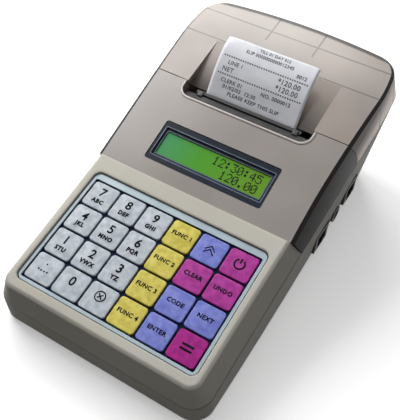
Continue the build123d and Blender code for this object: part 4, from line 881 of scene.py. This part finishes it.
piece("slot_bead_highlight", *slot_highlight_line(), bead_highlight, "casing", smooth=False)
ledge = piece("throat_ledge", *folded(LEDGE_LINE, LEDGE_HALF_X), dull_steel, "casing", smooth=False)
thicken(ledge, LEDGE_WALL, -1.0)
piece("throat_blade", *blade(), nylon, "casing", smooth=False)
for side, x in (("left", -CLIP_X), ("right", CLIP_X)):
    piece(f"throat_clip_{side}", *clip(x), carrier_abs, "casing")


# --- Floor, light and camera --------------------------------------------------------------------
# in metres: the point that the lamps face, and the camera's place and its own x, y and z
LIT_POINT = (0.0, 0.0, 0.04)
CAMERA_PLACE = (0.1252, -0.2465, 0.3053)
CAMERA_AXES = [(0.853, 0.519, 0.053), (-0.406, 0.597, 0.692), (0.327, -0.612, 0.720)]
# the floor's glow where it is seen, and the world's strength for the light that it gives
FLOOR_GLOW, SKY_LIGHT = 0.35, 0.14


def seen_rays(tree):
    """1 for what the eye sees, straight, in a mirror or through a shell, and 0 for light that bounces."""
    rays = add(tree, "ShaderNodeLightPath").outputs
    direct = add(tree, "ShaderNodeMath", {
        0: rays["Is Camera Ray"], 1: rays["Is Glossy Ray"],
    }, operation="MAXIMUM")
    return add(tree, "ShaderNodeMath", {
        0: direct.outputs[0], 1: rays["Is Transmission Ray"],
    }, operation="MAXIMUM").outputs[0]


def sweep_paper():
    """Paper sweep, pale and matt: white to the eye, in mirrors and through the shells, but dark to the light
    that bounces, so that the case's flanks stay as dark as over a table."""
    material, tree, place = blank("floor_pale_paper")
    drift = add(tree, "ShaderNodeTexNoise", {"Vector": place.outputs["Object"], "Scale": 2.5})
    pale = add(tree, "ShaderNodeValToRGB", {"Fac": drift.outputs["Fac"]}, [
        (0.3, "#F6F6F6"), (0.7, "#FAFAFA"),
    ])
    seen = seen_rays(tree)
    tone = add(tree, "ShaderNodeMix", {
        "Factor": seen, "A": linear("#24221F"), "B": pale.outputs["Color"],
    }, data_type="RGBA")
    lift = add(tree, "ShaderNodeMath", {0: seen, 1: FLOOR_GLOW}, operation="MULTIPLY")
    shader = add(tree, "ShaderNodeBsdfPrincipled", {
        "Base Color": tone.outputs["Result"], "Roughness": 0.9, "Emission Color": (1.0, 1.0, 1.0, 1.0),
        "Emission Strength": lift.outputs[0],
    })
    add(tree, "ShaderNodeOutputMaterial", {"Surface": shader.outputs[0]})
    return material


def floor():
    """Flat square over the ground, z = 0."""
    mesh = bpy.data.meshes.new("floor")
    mesh.from_pydata((FLOOR_HALF * MM * at_height(SQUARE, 0)).tolist(), [], [(0, 1, 2, 3)])
    mesh.materials.append(sweep_paper())
    made = bpy.data.objects.new("floor", mesh)
    bpy.context.scene.collection.objects.link(made)
    return made


def placed(axes, place):
    """Matrix that puts an object's own x, y and z along three axes, and its origin at a place in metres."""
    matrix = np.eye(4)
    matrix[:3, :3] = np.array(axes).T
    matrix[:3, 3] = place
    return Matrix(matrix.tolist())


def lamp(name, place, size, watts):
    """Square soft lamp that faces the case's middle; place and size are in metres."""
    light = bpy.data.lights.new(name, "AREA")
    light.size, light.energy = size, watts
    made = bpy.data.objects.new(name, light)
    bpy.context.scene.collection.objects.link(made)
    back = np.array(place) - LIT_POINT
    back /= np.linalg.norm(back)
    right = np.cross((0, 0, 1), back)
    right /= np.linalg.norm(right)
    made.matrix_world = placed([right, np.cross(back, right), back], place)


def studio():
    """World that is white where it is seen, and gives little light of its own."""
    world = bpy.data.worlds.new("studio")
    world.use_nodes = True
    tree = world.node_tree
    tree.nodes.clear()
    strength = add(tree, "ShaderNodeMapRange", {"Value": seen_rays(tree), "To Min": SKY_LIGHT, "To Max": 1.0})
    backdrop = add(tree, "ShaderNodeBackground", {
        "Color": (1.0, 1.0, 1.0, 1.0), "Strength": strength.outputs["Result"],
    })
    add(tree, "ShaderNodeOutputWorld", {"Surface": backdrop.outputs[0]})
    return world


floor()
lamp("key_light", (-0.46, 0.12, 0.5), size=0.4, watts=3.5)
lamp("rear_light", (-0.42, 0.72, 0.93), size=0.45, watts=5.0)
lamp("top_fill", (0.1, -0.1, 1.1), size=0.8, watts=2.0)
bpy.context.scene.world = studio()

camera = bpy.data.cameras.new("camera")
camera.lens, camera.sensor_width = 59.14, 36.0
camera.clip_start, camera.clip_end = 0.01, 50.0
camera_object = bpy.data.objects.new("camera", camera)
bpy.context.scene.collection.objects.link(camera_object)
camera_object.matrix_world = placed(CAMERA_AXES, CAMERA_PLACE)
bpy.context.scene.camera = camera_object
bpy.context.scene.view_settings.view_transform = "Standard"
